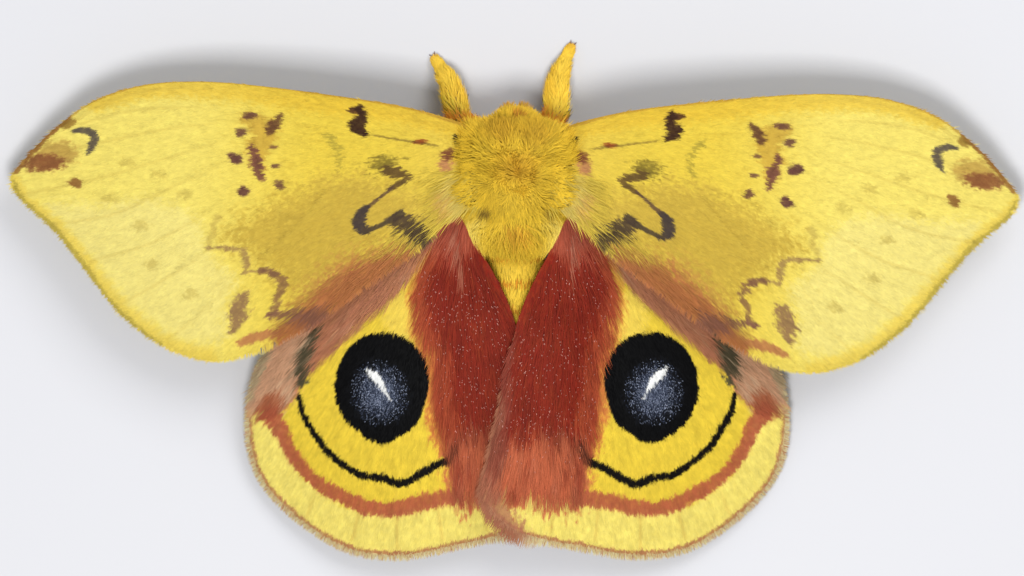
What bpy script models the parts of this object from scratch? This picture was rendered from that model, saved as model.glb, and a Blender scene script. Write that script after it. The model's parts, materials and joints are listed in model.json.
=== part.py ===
"""A life-size io moth (a male), standing with its four wings spread.

The moth stands on the floor on its six feet, with +Y towards its head and +Z up.
All sizes are in millimetres until MM turns them into metres. Left and right are
the moth's own, so that its left side is at -X. The origin is on the floor,
below the middle of the moth's box.
"""

import math
import random

import bmesh
import bpy
import numpy as np
from mathutils import Matrix, Vector
from mathutils.bvhtree import BVHTree
from mathutils.geometry import delaunay_2d_cdt

MM = 0.001
GAP = 0.3                        # between two nodes that meet
WELD = 0.0005                    # corners closer than this become one after a join or a cut
LEFT, RIGHT = -1, 1
SIDES = {"left": LEFT, "right": RIGHT}

# Wings: the forewing's tips are 68 mm apart.
WING_HALF_THICKNESS = 0.28
OUTLINE_STEP = 1.5
OUTLINE_CORNERS = 3
VEIN_STEP = 2.6
VEIN_WIDTH = (0.95, 0.60)        # foot to foot, at the root and at the margin
VEIN_HEIGHT = (0.30, 0.16)
VEIN_START = 0.9                 # a branch's feet begin this far from its stem
FILL_STEP = 2.7
FILL_CLEARANCE = 0.95
FOREWING_HEIGHT = 8.95
FOREWING_DROOP = (0.0050, 0.0125)
FOREWING_CROWN_Y = 2.0
HINDWING_HEIGHT = 7.25
HINDWING_DROOP = (0.0128, 0.0082)
HINDWING_CROWN_Y = -2.0
HINDWING_HINGE = (3.0, -1.0)
HINDWING_SWEEP = {"left": 3.8, "right": 0.0}      # degrees closer to the body
OVERLAP_LIFT = {"left": -0.66, "right": 0.66}     # the right hindwing lies on the left one
OVERLAP_REACH = (2.6, 6.5)                        # full lift inside the first, none past the second
OVERLAP_BEGINS = (-4.0, -8.5)

FOREWING_OUTLINE = [
    (3.4, 4.30), (7.5, 5.40), (13.0, 6.17), (18.0, 6.70), (21.5, 6.86), (25.0, 6.58),
    (28.3, 5.52), (31.0, 3.60), (33.0, 1.55), (34.0, 0.05), (33.2, -1.30), (31.0, -3.25),
    (28.9, -5.75), (26.6, -8.60), (23.6, -10.90), (20.6, -11.85), (18.2, -11.55),
    (14.0, -9.45), (10.0, -6.60), (6.0, -3.60), (3.6, -1.60), (1.6, -0.30), (1.3, 3.20),
]
FOREWING_VEINS = {
    "costa": [(3.9, 4.15), (8.0, 5.07), (13.0, 5.73), (18.0, 6.25), (23.0, 6.40), (27.0, 5.55), (30.3, 3.75)],
    "radius": [(1.6, 2.30), (8.0, 3.50), (13.0, 4.15), (17.4, 4.25)],
    "radial_2": [(13.0, 4.15), (19.0, 5.00), (25.0, 4.95), (29.3, 3.90)],
    "radial_4": [(17.4, 4.25), (23.0, 3.70), (28.0, 2.60), (32.2, 1.50)],
    "media_1": [(17.4, 3.60), (23.0, 1.80), (28.5, 0.10), (32.9, -0.90)],
    "media_2": [(17.2, 2.30), (22.5, 0.00), (26.8, -2.10), (30.9, -2.90)],
    "cubitus": [(1.6, 1.40), (8.0, 0.45), (12.5, 0.00), (16.6, 0.40)],
    "cell_end": [(17.4, 4.25), (17.2, 2.30), (16.6, 0.40)],
    "media_3": [(16.6, 0.40), (20.5, -1.90), (24.5, -4.10), (28.6, -5.40)],
    "cubital_1": [(14.8, 0.10), (18.5, -3.20), (22.5, -5.90), (26.3, -8.20)],
    "cubital_2": [(12.0, 0.00), (15.5, -3.80), (19.3, -7.20), (23.0, -10.50)],
    "anal": [(1.8, 0.50), (7.5, -2.30), (13.0, -6.40), (17.4, -9.80), (18.9, -11.20)],
}
HINDWING_OUTLINE = [
    (3.6, -0.40), (7.5, -2.00), (12.0, -4.80), (15.2, -7.60), (17.4, -10.70), (18.4, -13.30),
    (18.7, -16.00), (18.2, -18.50), (16.6, -20.80), (14.0, -23.00), (11.6, -24.20),
    (8.5, -24.55), (5.0, -24.05), (1.2, -23.30), (-0.8, -22.10), (-1.75, -20.30),
    (-1.35, -18.00), (-0.60, -14.50), (-0.05, -10.60), (0.45, -7.90), (1.4, -5.60),
    (2.5, -3.80), (2.2, -2.30), (2.2, -1.00),
]
HINDWING_VEINS = {
    "subcosta": [(2.4, -1.40), (9.0, -3.90), (14.0, -7.30), (17.3, -11.30)],
    "radius": [(2.4, -1.90), (7.0, -6.20), (10.4, -11.70)],
    "radial": [(8.3, -8.30), (12.6, -10.60), (16.2, -13.40), (18.2, -15.70)],
    "media_1": [(10.4, -11.70), (14.6, -15.50), (17.2, -19.00)],
    "media_2": [(9.9, -12.20), (13.0, -17.20), (15.0, -21.60)],
    "cubitus": [(2.4, -2.50), (5.4, -7.00), (7.4, -11.00), (8.7, -13.90)],
    "cell_end": [(10.4, -11.70), (9.6, -12.60), (8.7, -13.90)],
    "media_3": [(8.7, -13.90), (10.6, -18.60), (12.0, -23.30)],
    "cubital_1": [(8.3, -13.00), (8.8, -18.60), (9.0, -24.00)],
    "cubital_2": [(6.7, -9.60), (6.5, -16.50), (5.9, -23.60)],
    "anal_2": [(2.6, -3.00), (4.0, -9.00), (3.7, -16.00), (2.9, -23.00)],
    "anal_3": [(2.5, -3.40), (1.8, -8.00), (1.1, -14.00), (0.1, -21.30)],
}

# Body: three rounded lumps make the thorax, and the head sits low in front of it.
MESOTHORAX = ((0.0, 0.20, 7.00), (3.30, 3.00, 4.10))
PROTHORAX = ((0.0, 2.20, 6.70), (2.55, 1.25, 3.00))
METATHORAX = ((0.0, -1.80, 6.50), (2.70, 1.75, 2.90))
LUMPS = (MESOTHORAX, PROTHORAX, METATHORAX)
HEAD = ((0.0, 4.10, 5.70), (1.70, 1.20, 1.75))
EYE_RADIUS = 0.85
EYE_CENTRE = (1.65, 4.15, 5.00)
PALP = [(0.45, 4.75, 4.70), (0.50, 5.25, 4.30), (0.48, 5.45, 3.70)]
PALP_RADIUS = (0.36, 0.34, 0.16)

ABDOMEN_FRONT = (0.0, -2.60, 4.10)
ABDOMEN_TILT = 8.5               # degrees down towards the tail
ABDOMEN_LENGTH = 14.4
ABDOMEN_SEGMENTS = 8
ABDOMEN_RADIUS = (2.05, 2.35, 2.34, 2.22, 2.02, 1.78, 1.48, 1.10)
SEGMENT_STEP = 0.09              # each ring stands this far over the next
ABDOMEN_SIDES = 16

# Coat: flat locks on a core, which lie away from a whorl on the thorax.
COAT_SEED = 5
LOCK_THICKNESS = 0.56
LOCK_SHAPE = (0.85, 1.0, 0.72)   # share of the width at each section, before the tip
LOCK_SHARES = (0.0, 0.34, 0.70, 1.0)
LOCK_RISE = (-0.50, 0.10, 0.50, 1.0)      # share of the coat's height, sunk at the root
WHORL = (0.0, 2.1)
LIE_BACKWARD = 0.5
THORAX_ROWS = ((0.16, 4), (0.44, 8), (0.70, 13), (0.90, 14), (1.15, 14))    # angle off the top, count
THORAX_LOCK = (3.3, 1.65)        # length and width
THORAX_COAT = ((0.0, 0.10, 7.00), (4.65, 4.75, 4.85))    # the oval on which the tips end
WING_CLEARANCE = 1.25            # from a wing's middle surface to a lock's middle line
WING_ROOT_X = 1.2
WING_ROOT_FRONT = 4.9
WING_ROOT_REAR = -2.0            # the hindwing's root lies behind this, the forewing's ahead of it
HEAD_CLEARANCE = 1.30
ABDOMEN_CLEARANCE = 3.0
FLANK_ROWS = ((-0.5, 4.6, 6), (-0.5, 6.1, 5))    # middle y, height, count
FLANK_REACH = 2.3                # the flank's rows run this far to the front and back
FLANK_LOCK = (1.5, 1.2)
FLANK_COAT = ((0.0, -0.30, 6.80), (3.85, 3.80, 4.60))
HEAD_ROWS = ((0.35, 5), (0.85, 7))
HEAD_LOCK = (1.25, 1.05)
HEAD_COAT = ((0.0, 4.10, 5.75), (2.15, 1.60, 2.15))
JITTER = 0.12
LOCK_TRIES = (1.0, 0.8, 0.6)     # shares of its length at which a lock is tried

# Antennae: broad combs that lie back below the forewings.
ANTENNA_PATH = [(0.95, 4.10, 6.85), (2.40, 3.95, 7.05), (4.10, 3.05, 7.15), (6.10, 1.95, 7.15),
                (8.20, 0.75, 7.05), (10.20, -0.45, 6.85)]
SHAFT_RADIUS = (0.40, 0.27)
SHAFT_SIDES = 6
RAMUS_PAIRS = 8
RAMUS_FROM_TO = (0.25, 0.95)     # shares of the shaft
RAMUS_LENGTHS = (1.2, 2.0, 2.0, 1.5, 0.7)
RAMUS_SWEEP = 52.0               # degrees off the shaft, towards its tip
RAMUS_DROOP = 0.3
RAMUS_SIZE = (0.52, 0.52)        # width and height at the root
RAMUS_TAPER = (1.0, 0.9, 0.45)

# Legs: coxa, knee, ankle and toes.
LEG_PATHS = {
    "front": {
        "left": [(1.10, 2.35, 4.70), (1.45, 3.20, 2.60), (3.75, 4.55, 3.30), (4.45, 7.00, 1.70),
                 (5.10, 8.10, 0.62), (5.55, 8.80, 0.25)],
        "right": [(1.10, 2.35, 4.70), (1.45, 3.20, 2.60), (2.65, 5.10, 3.30), (2.75, 7.30, 1.70),
                  (3.25, 8.90, 0.62), (3.62, 9.75, 0.25)],
    },
    "middle": {
        "both": [(1.45, 0.20, 4.30), (2.60, 0.10, 2.40), (6.00, -0.30, 4.20), (8.20, -0.90, 1.05),
                 (8.80, -1.00, 0.45), (11.20, -1.50, 0.24)],
    },
    "hind": {
        "both": [(1.65, -1.40, 4.40), (3.20, -2.40, 2.35), (5.40, -5.60, 4.10), (6.70, -9.00, 1.05),
                 (6.95, -9.60, 0.45), (7.60, -12.00, 0.24)],
    },
}
LEG_RADII = {
    "front": (0.62, 0.60, 0.58, 0.46, 0.34, 0.27),
    "middle": (0.62, 0.58, 0.54, 0.44, 0.34, 0.28),
    "hind": (0.62, 0.58, 0.54, 0.44, 0.34, 0.28),
}
LEG_SIDES = 7
SEGMENT_SWELL = ((0.0, 0.9), (0.3, 1.08), (0.72, 1.0))
LEG_LOCK_ROWS = {"front": (0.04, 0.36, 0.68, 1.0), "middle": (0.15, 0.60), "hind": (0.15, 0.60)}
LEG_LOCKS_ROUND = {"front": 5, "middle": 3, "hind": 3}
LEG_LOCK = ((1.55, 0.95), (1.05, 0.62))    # length and width at the knee and at the ankle
LEG_COAT = (0.40, 0.24)
CLAW_LENGTH = 0.55
CLAW_RADIUS = 0.25
CLAW_SPREAD = 24.0
FLOOR_CUT = (40.0, 40.0, 3.0)

COLOURS = {
    "forewing": (0.80, 0.62, 0.10),
    "hindwing": (0.62, 0.22, 0.07),
    "fur": (0.70, 0.52, 0.08),
    "abdomen": (0.78, 0.58, 0.10),
    "antenna": (0.78, 0.56, 0.13),
    "leg": (0.45, 0.20, 0.14),
    "eye": (0.05, 0.03, 0.02),
}


def clear_scene():
    """Remove whatever the scene holds."""
    for old in list(bpy.data.objects):
        bpy.data.objects.remove(old)


def new_collection(name):
    collection = bpy.data.collections.new(name)
    bpy.context.scene.collection.children.link(collection)
    return collection


def new_material(name, roughness=0.8):
    material = bpy.data.materials.new(name)
    material.use_nodes = True
    shader = material.node_tree.nodes["Principled BSDF"]
    shader.inputs["Base Color"].default_value = (*COLOURS[name], 1.0)
    shader.inputs["Roughness"].default_value = roughness
    shader.inputs["Metallic"].default_value = 0.0
    return material


def new_object(name, bm, collection):
    """Store a bmesh that is in millimetres as an object in metres."""
    bm.transform(Matrix.Scale(MM, 4))
    mesh = bpy.data.meshes.new(name)
    bm.to_mesh(mesh)
    bm.free()
    obj = bpy.data.objects.new(name, mesh)
    collection.objects.link(obj)
    return obj


def smooth_step(value, low, high):
    share = min(1.0, max(0.0, (value - low) / (high - low)))
    return share * share * (3.0 - 2.0 * share)


def between(ends, share):
    return ends[0] + (ends[1] - ends[0]) * share


# Smooth lines through a few points

def spline(points, step, closed=False):
    """Points about `step` apart on a smooth curve through the given ones."""
    points = [np.array(p, float) for p in points]
    count = len(points)
    made = []
    for i in range(count if closed else count - 1):
        if closed:
            before, start, end, after = (points[(i + k) % count] for k in (-1, 0, 1, 2))
        else:
            start, end = points[i], points[i + 1]
            before = points[i - 1] if i else 2 * start - end
            after = points[i + 2] if i + 2 < count else 2 * end - start
        parts = max(1, round(float(np.linalg.norm(end - start)) / step))
        for k in range(parts):
            t = k / parts
            made.append(0.5 * (2 * start + (end - before) * t
                               + (2 * before - 5 * start + 4 * end - after) * t * t
                               + (3 * start - before - 3 * end + after) * t ** 3))
    if not closed:
        made.append(points[-1])
    return np.array(made)


def line_lengths(points):
    """The share of the whole length at which each point lies, and that length."""
    steps = np.linalg.norm(np.diff(points, axis=0), axis=1)
    total = float(steps.sum())
    return np.concatenate([[0.0], np.cumsum(steps)]) / total, total


def distance_to_line(point, points, shares):
    """How far a point is from a line, and the share of the line where it is nearest."""
    start, along = points[:-1], np.diff(points, axis=0)
    t = np.clip(((point - start) * along).sum(1) / (along * along).sum(1), 0.0, 1.0)
    gaps = np.linalg.norm(point - (start + along * t[:, None]), axis=1)
    best = int(np.argmin(gaps))
    return float(gaps[best]), float(shares[best] + (shares[best + 1] - shares[best]) * t[best])


# Wings

def forewing_height(side, x, y):
    """Height of the forewing's middle surface; x is counted outwards from the body."""
    return FOREWING_HEIGHT - FOREWING_DROOP[0] * x * x - FOREWING_DROOP[1] * (y - FOREWING_CROWN_Y) ** 2


def hindwing_height(side, x, y):
    """Height of the hindwing's middle surface, which bends up or down where the two cross."""
    outward = max(0.0, x)
    height = HINDWING_HEIGHT - HINDWING_DROOP[0] * outward ** 2 - HINDWING_DROOP[1] * (y - HINDWING_CROWN_Y) ** 2
    inner = 1.0 - smooth_step(x, *OVERLAP_REACH)
    behind = smooth_step(-y, -OVERLAP_BEGINS[0], -OVERLAP_BEGINS[1])
    return height + OVERLAP_LIFT[side] * inner * behind


def swept(points, side):
    """Hindwing points turned about the hinge by that side's sweep."""
    angle = -math.radians(HINDWING_SWEEP[side])
    turn = np.array([[math.cos(angle), -math.sin(angle)], [math.sin(angle), math.cos(angle)]])
    return (np.array(points, float) - HINDWING_HINGE) @ turn.T + HINDWING_HINGE


def vein_lines(veins):
    """Each vein's crest and its two feet, as lines of points."""
    lines = []
    for points in veins.values():
        crest = spline(points, VEIN_STEP)
        shares, total = line_lengths(crest)
        along = np.gradient(crest, axis=0)
        across = np.stack([-along[:, 1], along[:, 0]], 1) / np.linalg.norm(along, axis=1)[:, None]
        half = np.array([between(VEIN_WIDTH, s) / 2 for s in shares])
        kept = shares * total >= VEIN_START
        feet = [crest[kept] + side * across[kept] * half[kept, None] for side in (-1, 1)]
        lines.append({"crest": crest, "shares": shares, "feet": feet})
    return lines


def ridge(point, lines):
    """How high the veins stand on the membrane at a point."""
    height = 0.0
    for line in lines:
        gap, share = distance_to_line(point, line["crest"], line["shares"])
        width = between(VEIN_WIDTH, share) / 2
        height = max(height, between(VEIN_HEIGHT, share) * (1.0 - gap / width))
    return height


def fill_points(outline, lines):
    """Points in rows that keep the membrane's triangles small between the veins."""
    low, high = outline.min(0), outline.max(0)
    closed = np.vstack([outline, outline[:1]])
    outline_shares = line_lengths(closed)[0]
    made = []
    for row, y in enumerate(np.arange(low[1] + FILL_STEP / 2, high[1], FILL_STEP * 0.87)):
        for x in np.arange(low[0] + FILL_STEP * (0.5 if row % 2 else 1.0), high[0], FILL_STEP):
            point = np.array([x, y])
            near_vein = min(distance_to_line(point, v["crest"], v["shares"])[0] for v in lines)
            near_edge = distance_to_line(point, closed, outline_shares)[0]
            if min(near_vein, near_edge) > FILL_CLEARANCE and inside(point, outline):
                made.append(point)
    return made


def inside(point, outline):
    """True if the point lies inside the closed outline."""
    x, y = point
    ahead = np.roll(outline, -1, axis=0)
    crosses = (outline[:, 1] > y) != (ahead[:, 1] > y)
    rise = np.where(crosses, ahead[:, 1] - outline[:, 1], 1.0)
    where = outline[:, 0] + (y - outline[:, 1]) * (ahead[:, 0] - outline[:, 0]) / rise
    return bool(np.count_nonzero(crosses & (x < where)) % 2)


def make_wing(name, side, outline, veins, height, collection):
    """A thin curved wing whose veins are ridges on both faces."""
    outline = spline(outline, OUTLINE_STEP, closed=True)
    lines = vein_lines(veins)
    flat = [Vector(p) for p in outline]
    edges = []
    for line in lines:
        for points in (line["crest"], *line["feet"]):
            points = [p for p in points if inside(p, outline)]
            first = len(flat)
            flat += [Vector(p) for p in points]
            edges += [(first + k, first + k + 1) for k in range(len(points) - 1)]
    flat += [Vector(p) for p in fill_points(outline, lines)]
    rim = list(range(len(outline)))
    points, _, faces, *_ = delaunay_2d_cdt(flat, edges, [rim], 1, 0.02)
    bm = bmesh.new()
    upper, lower = [], []
    for p in points:
        middle = height(side, p.x, p.y)
        half = WING_HALF_THICKNESS + ridge(np.array(p), lines)
        x = SIDES[side] * p.x
        upper.append(bm.verts.new((x, p.y, middle + half)))
        lower.append(bm.verts.new((x, p.y, middle - half)))
    uses = {}
    for face in faces:
        bm.faces.new([upper[i] for i in face])
        bm.faces.new([lower[i] for i in reversed(face)])
        for a, b in zip(face, [*face[1:], face[0]]):
            uses[(a, b)] = uses.get((a, b), 0) + 1
    for a, b in uses:
        if (b, a) not in uses:
            bm.faces.new([upper[b], upper[a], lower[a]])
            bm.faces.new([upper[b], lower[a], lower[b]])
    bmesh.ops.recalc_face_normals(bm, faces=bm.faces)
    return new_object(name, bm, collection)


# Rounded bodies, tubes and locks

def ellipsoid(name, form, collection, grown=0.0, sides=24, rings=16):
    centre, half = form
    bm = bmesh.new()
    bmesh.ops.create_uvsphere(bm, u_segments=sides, v_segments=rings, radius=1.0)
    bm.transform(Matrix.Translation(centre) @ Matrix.Diagonal([h + grown for h in half] + [1.0]))
    return new_object(name, bm, collection)


def lump(name, form, collection):
    return ellipsoid(name, form, collection, sides=20, rings=12)


def tube(name, points, radii, collection, sides=8, turn=0.0):
    """A closed tube of changing radius along a line of points."""
    points = [Vector(p) for p in points]
    bm = bmesh.new()
    rings = []
    for i, point in enumerate(points):
        ahead = points[min(i + 1, len(points) - 1)] - points[max(i - 1, 0)]
        ahead.normalize()
        across = ahead.cross(Vector((0.0, 0.0, 1.0)))
        if across.length < 0.05:
            across = Vector((0.0, 1.0, 0.0)).cross(ahead)
        across.normalize()
        up = across.cross(ahead)
        rings.append([
            bm.verts.new(point + radii[i] * (across * math.cos(a) + up * math.sin(a)))
            for a in (2 * math.pi * (k + turn) / sides for k in range(sides))])
    for near, far in zip(rings, rings[1:]):
        for k in range(sides):
            bm.faces.new([near[k], near[(k + 1) % sides], far[(k + 1) % sides], far[k]])
    bm.faces.new(list(reversed(rings[0])))
    bm.faces.new(rings[-1])
    bmesh.ops.recalc_face_normals(bm, faces=bm.faces)
    return new_object(name, bm, collection)


def lock_shape(points, normals, width, swell=0.0):
    """A flat lock of hair: four-cornered sections that narrow to a point."""
    bm = bmesh.new()
    rings = []
    for i, shape in enumerate(LOCK_SHAPE):
        ahead = (points[i + 1] - points[max(i - 1, 0)]).normalized()
        across = ahead.cross(normals[i]).normalized()
        up = across.cross(ahead)
        wide, tall = across * (width * shape + swell) / 2, up * (LOCK_THICKNESS * shape + swell) / 2
        rings.append([bm.verts.new(points[i] + corner) for corner in (wide, tall, -wide, -tall)])
    tip = bm.verts.new(points[-1])
    for near, far in zip(rings, rings[1:]):
        for k in range(4):
            bm.faces.new([near[k], near[(k + 1) % 4], far[(k + 1) % 4], far[k]])
    for k in range(4):
        bm.faces.new([rings[-1][k], rings[-1][(k + 1) % 4], tip])
    bm.faces.new(list(reversed(rings[0])))
    bmesh.ops.recalc_face_normals(bm, faces=bm.faces)
    return bm


def touches(points, normals, width, neighbours):
    """True if the lock, larger by the gap all round, would cross a neighbour."""
    bm = lock_shape(points, normals, width, swell=2 * GAP)
    tree = BVHTree.FromBMesh(bm)
    bm.free()
    return any(tree.overlap(neighbour) for neighbour in neighbours)


def tree_of(obj):
    """A search tree of an object's faces, in millimetres."""
    bm = bmesh.new()
    bm.from_mesh(obj.data)
    bm.transform(Matrix.Scale(1 / MM, 4))
    tree = BVHTree.FromBMesh(bm)
    bm.free()
    return tree


def nearest_lump(point, lumps):
    """The lump whose surface the point is deepest in or closest to, and the point's share of it."""
    shares = []
    for centre, half in lumps:
        shares.append(math.sqrt(sum(((point[k] - centre[k]) / half[k]) ** 2 for k in range(3))))
    best = min(range(len(lumps)), key=lambda k: shares[k])
    return lumps[best], shares[best]


def on_lumps(point, lumps):
    """The point moved onto the lumps' surface, and the surface's direction there."""
    (centre, half), share = nearest_lump(point, lumps)
    moved = Vector(centre) + (point - Vector(centre)) / share
    normal = Vector([(moved[k] - centre[k]) / half[k] ** 2 for k in range(3)]).normalized()
    return moved, normal


def lumps_lock(name, root, lie, size, coat, lumps, collection, neighbours, clear=None):
    """A lock that grows out of the lumps, along them, and ends on the coat's own oval.

    One that would cross a neighbour is made shorter, and left out where that isn't enough.
    """
    length, width = (value * random.uniform(1 - JITTER, 1 + JITTER) for value in size)
    for shorter in LOCK_TRIES:
        points, normals = [], []
        for share, rise in zip(LOCK_SHARES, LOCK_RISE):
            along = root + lie * length * share * shorter
            inner, normal = on_lumps(along, lumps)
            outer, _ = on_lumps(along, [coat])
            point = inner + (outer - inner) * rise
            moved = clear(point.copy()) if clear and share else point
            if (moved - point).length > GAP / 10:
                normal = (moved - point).normalized()
            points.append(moved)
            normals.append(normal)
        if not touches(points, normals, width, neighbours):
            return [new_object(name, lock_shape(points, normals, width), collection)]
    return []


def lie_at(point, normal):
    """The direction in which the thorax's coat lies: away from the whorl, along the surface."""
    away = Vector((point.x - WHORL[0], point.y - WHORL[1], 0.0)).normalized()
    away += Vector((random.uniform(-JITTER, JITTER), -LIE_BACKWARD * (point.y < WHORL[1]), 0.0))
    return (away - normal * away.dot(normal)).normalized()


def clear_of_neighbours(point):
    """Lift a point of the thorax's coat over the wings, the head and the abdomen."""
    outward = abs(point.x)
    side = "left" if point.x < 0 else "right"
    if outward > WING_ROOT_X and point.y < WING_ROOT_FRONT:
        wing = forewing_height if point.y > WING_ROOT_REAR else hindwing_height
        point.z = max(point.z, wing(side, outward, point.y) + WING_CLEARANCE)
    point = outside(point, HEAD[0], [half + HEAD_CLEARANCE for half in HEAD[1]])
    if point.y < ABDOMEN_FRONT[1]:
        point = outside(point, (0.0, point.y, ABDOMEN_FRONT[2]), [ABDOMEN_CLEARANCE] * 3)
    return point


def outside(point, centre, half):
    """The point, moved straight away from the centre of an oval until it is out of it."""
    share = math.sqrt(sum(((point[k] - centre[k]) / half[k]) ** 2 for k in range(3)))
    return point if share >= 1.0 else Vector(centre) + (point - Vector(centre)) / share


# Joining and cutting

def weld(bm):
    """The mesh with its shortest edges welded away, or as it was where that would open it."""
    welded = bm.copy()
    bmesh.ops.remove_doubles(welded, verts=welded.verts, dist=WELD * MM)
    bmesh.ops.dissolve_degenerate(welded, edges=welded.edges, dist=WELD * MM)
    bmesh.ops.triangulate(welded, faces=welded.faces)
    closed = all(len(edge.link_faces) == 2 for edge in welded.edges)
    kept, dropped = (welded, bm) if closed else (bm, welded)
    dropped.free()
    return kept


def drop_small_shells(bm):
    """Keep only the largest closed surface."""
    bmesh.ops.triangulate(bm, faces=bm.faces)
    left, shells = set(bm.faces), []
    while left:
        shell, front = set(), [left.pop()]
        while front:
            face = front.pop()
            shell.add(face)
            for edge in face.edges:
                for other in edge.link_faces:
                    if other in left:
                        left.remove(other)
                        front.append(other)
        shells.append(shell)
    shells.sort(key=lambda s: sum(f.calc_area() for f in s))
    loose = [f for shell in shells[:-1] for f in shell]
    bmesh.ops.delete(bm, geom=loose, context="FACES")


def keep_largest(obj):
    """Drop hollows and scraps from a joined or cut mesh, and its shortest edges."""
    bm = bmesh.new()
    bm.from_mesh(obj.data)
    drop_small_shells(bm)
    bm = weld(bm)
    drop_small_shells(bm)
    bm.to_mesh(obj.data)
    bm.free()


def apply_boolean(obj, others, operation, solver):
    """Join or cut with every object of a list, apply it, and remove those objects."""
    helpers = new_collection("helpers")
    for other in others:
        for home in list(other.users_collection):
            home.objects.unlink(other)
        helpers.objects.link(other)
    modifier = obj.modifiers.new("Boolean", "BOOLEAN")
    modifier.operand_type = "COLLECTION"
    modifier.collection = helpers
    modifier.operation = operation
    modifier.solver = solver
    graph = bpy.context.evaluated_depsgraph_get()
    made = bpy.data.meshes.new_from_object(obj.evaluated_get(graph))
    obj.modifiers.clear()
    obj.data = made
    for other in list(helpers.objects):
        bpy.data.objects.remove(other)
    bpy.data.collections.remove(helpers)
    keep_largest(obj)


def join(obj, others, solver="MANIFOLD"):
    apply_boolean(obj, others, "UNION", solver)


def cut(obj, others, solver="MANIFOLD"):
    apply_boolean(obj, others, "DIFFERENCE", solver)


def grown_thorax(collection):
    """The thorax's three lumps, larger by the gap, to cut what meets them."""
    return [ellipsoid(f"cutter_{k}", form, collection, grown=GAP)
            for k, form in enumerate(LUMPS)]


# Parts

def make_wings(collection, materials):
    for side in SIDES:
        forewing = make_wing(f"forewing_{side}", side, FOREWING_OUTLINE, FOREWING_VEINS, forewing_height, collection)
        hindwing = make_wing(
            f"hindwing_{side}", side, swept(HINDWING_OUTLINE, side),
            {name: swept(points, side) for name, points in HINDWING_VEINS.items()}, hindwing_height, collection)
        for wing, material in ((forewing, "forewing"), (hindwing, "hindwing")):
            cut(wing, grown_thorax(collection))
            wing.data.materials.append(materials[material])


def make_abdomen(collection, materials):
    """Eight rings, each of which stands a little over the next, as a turned shape."""
    profile = [(0.0, 0.0)]
    length = ABDOMEN_LENGTH / ABDOMEN_SEGMENTS
    for k, radius in enumerate(ABDOMEN_RADIUS):
        after = ABDOMEN_RADIUS[k + 1] if k + 1 < ABDOMEN_SEGMENTS else radius * 0.55
        y = k * length
        profile += [(radius - SEGMENT_STEP, y + 0.02 * length), (radius, y + 0.45 * length),
                    (between((radius, after), 0.45) + SEGMENT_STEP, y + 0.97 * length)]
    profile += [(0.35, ABDOMEN_LENGTH + 0.30), (0.0, ABDOMEN_LENGTH + 0.40)]
    bm = bmesh.new()
    rings = [[bm.verts.new((r * math.cos(a), -y, r * math.sin(a)))
              for a in (2 * math.pi * k / ABDOMEN_SIDES for k in range(ABDOMEN_SIDES))]
             for r, y in profile[1:-1]]
    ends = [bm.verts.new((0.0, -profile[0][1], 0.0)), bm.verts.new((0.0, -profile[-1][1], 0.0))]
    for near, far in zip(rings, rings[1:]):
        for k in range(ABDOMEN_SIDES):
            bm.faces.new([near[k], near[(k + 1) % ABDOMEN_SIDES], far[(k + 1) % ABDOMEN_SIDES], far[k]])
    for k in range(ABDOMEN_SIDES):
        bm.faces.new([rings[0][(k + 1) % ABDOMEN_SIDES], rings[0][k], ends[0]])
        bm.faces.new([rings[-1][k], rings[-1][(k + 1) % ABDOMEN_SIDES], ends[1]])
    bmesh.ops.recalc_face_normals(bm, faces=bm.faces)
    bm.transform(Matrix.Translation(ABDOMEN_FRONT) @ Matrix.Rotation(math.radians(ABDOMEN_TILT), 4, "X"))
    abdomen = new_object("abdomen", bm, collection)
    cut(abdomen, grown_thorax(collection))
    abdomen.data.materials.append(materials["abdomen"])


def make_thorax(collection, materials):
    """Three lumps with rows of locks on the back, and on the flanks below the wings."""
    neighbours = [tree_of(obj) for obj in collection.objects]
    thorax = lump("thorax", MESOTHORAX, collection)
    pieces = [lump("prothorax", PROTHORAX, collection), lump("metathorax", METATHORAX, collection)]
    centre = Vector(MESOTHORAX[0])
    for row, (tilt, count) in enumerate(THORAX_ROWS):
        for k in range(count):
            turn = 2 * math.pi * (k + 0.5 * (row % 2)) / count
            out = Vector((math.sin(tilt) * math.sin(turn), math.sin(tilt) * math.cos(turn), math.cos(tilt)))
            root, normal = on_lumps(centre + Vector([o * h for o, h in zip(out, MESOTHORAX[1])]) * 1.2, LUMPS)
            if not wings_cover(root):
                pieces += lumps_lock(f"lock_{row}_{k}", root, lie_at(root, normal), THORAX_LOCK, THORAX_COAT,
                                     LUMPS, collection, neighbours, clear_of_neighbours)
    for row, (middle, height, count) in enumerate(FLANK_ROWS):
        for sign in SIDES.values():
            for k in range(count):
                y = middle + FLANK_REACH * (2 * k / (count - 1) - 1)
                root, normal = on_lumps(Vector((sign * MESOTHORAX[1][0], y, height)), LUMPS)
                lie = Vector((sign * 0.3, -0.5, -1.0))
                lie = (lie - normal * lie.dot(normal)).normalized()
                pieces += lumps_lock(f"flank_{row}_{sign}_{k}", root, lie, FLANK_LOCK, FLANK_COAT,
                                     LUMPS, collection, neighbours)
    join(thorax, pieces)
    thorax.data.materials.append(materials["fur"])


def wings_cover(root):
    """True where a wing's root leaves no room for a lock."""
    outward = abs(root.x)
    if outward < WING_ROOT_X or root.y > WING_ROOT_FRONT:
        return False
    side = "left" if root.x < 0 else "right"
    wing = forewing_height if root.y > WING_ROOT_REAR else hindwing_height
    return root.z < wing(side, outward, root.y) + WING_CLEARANCE * 0.75


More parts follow.
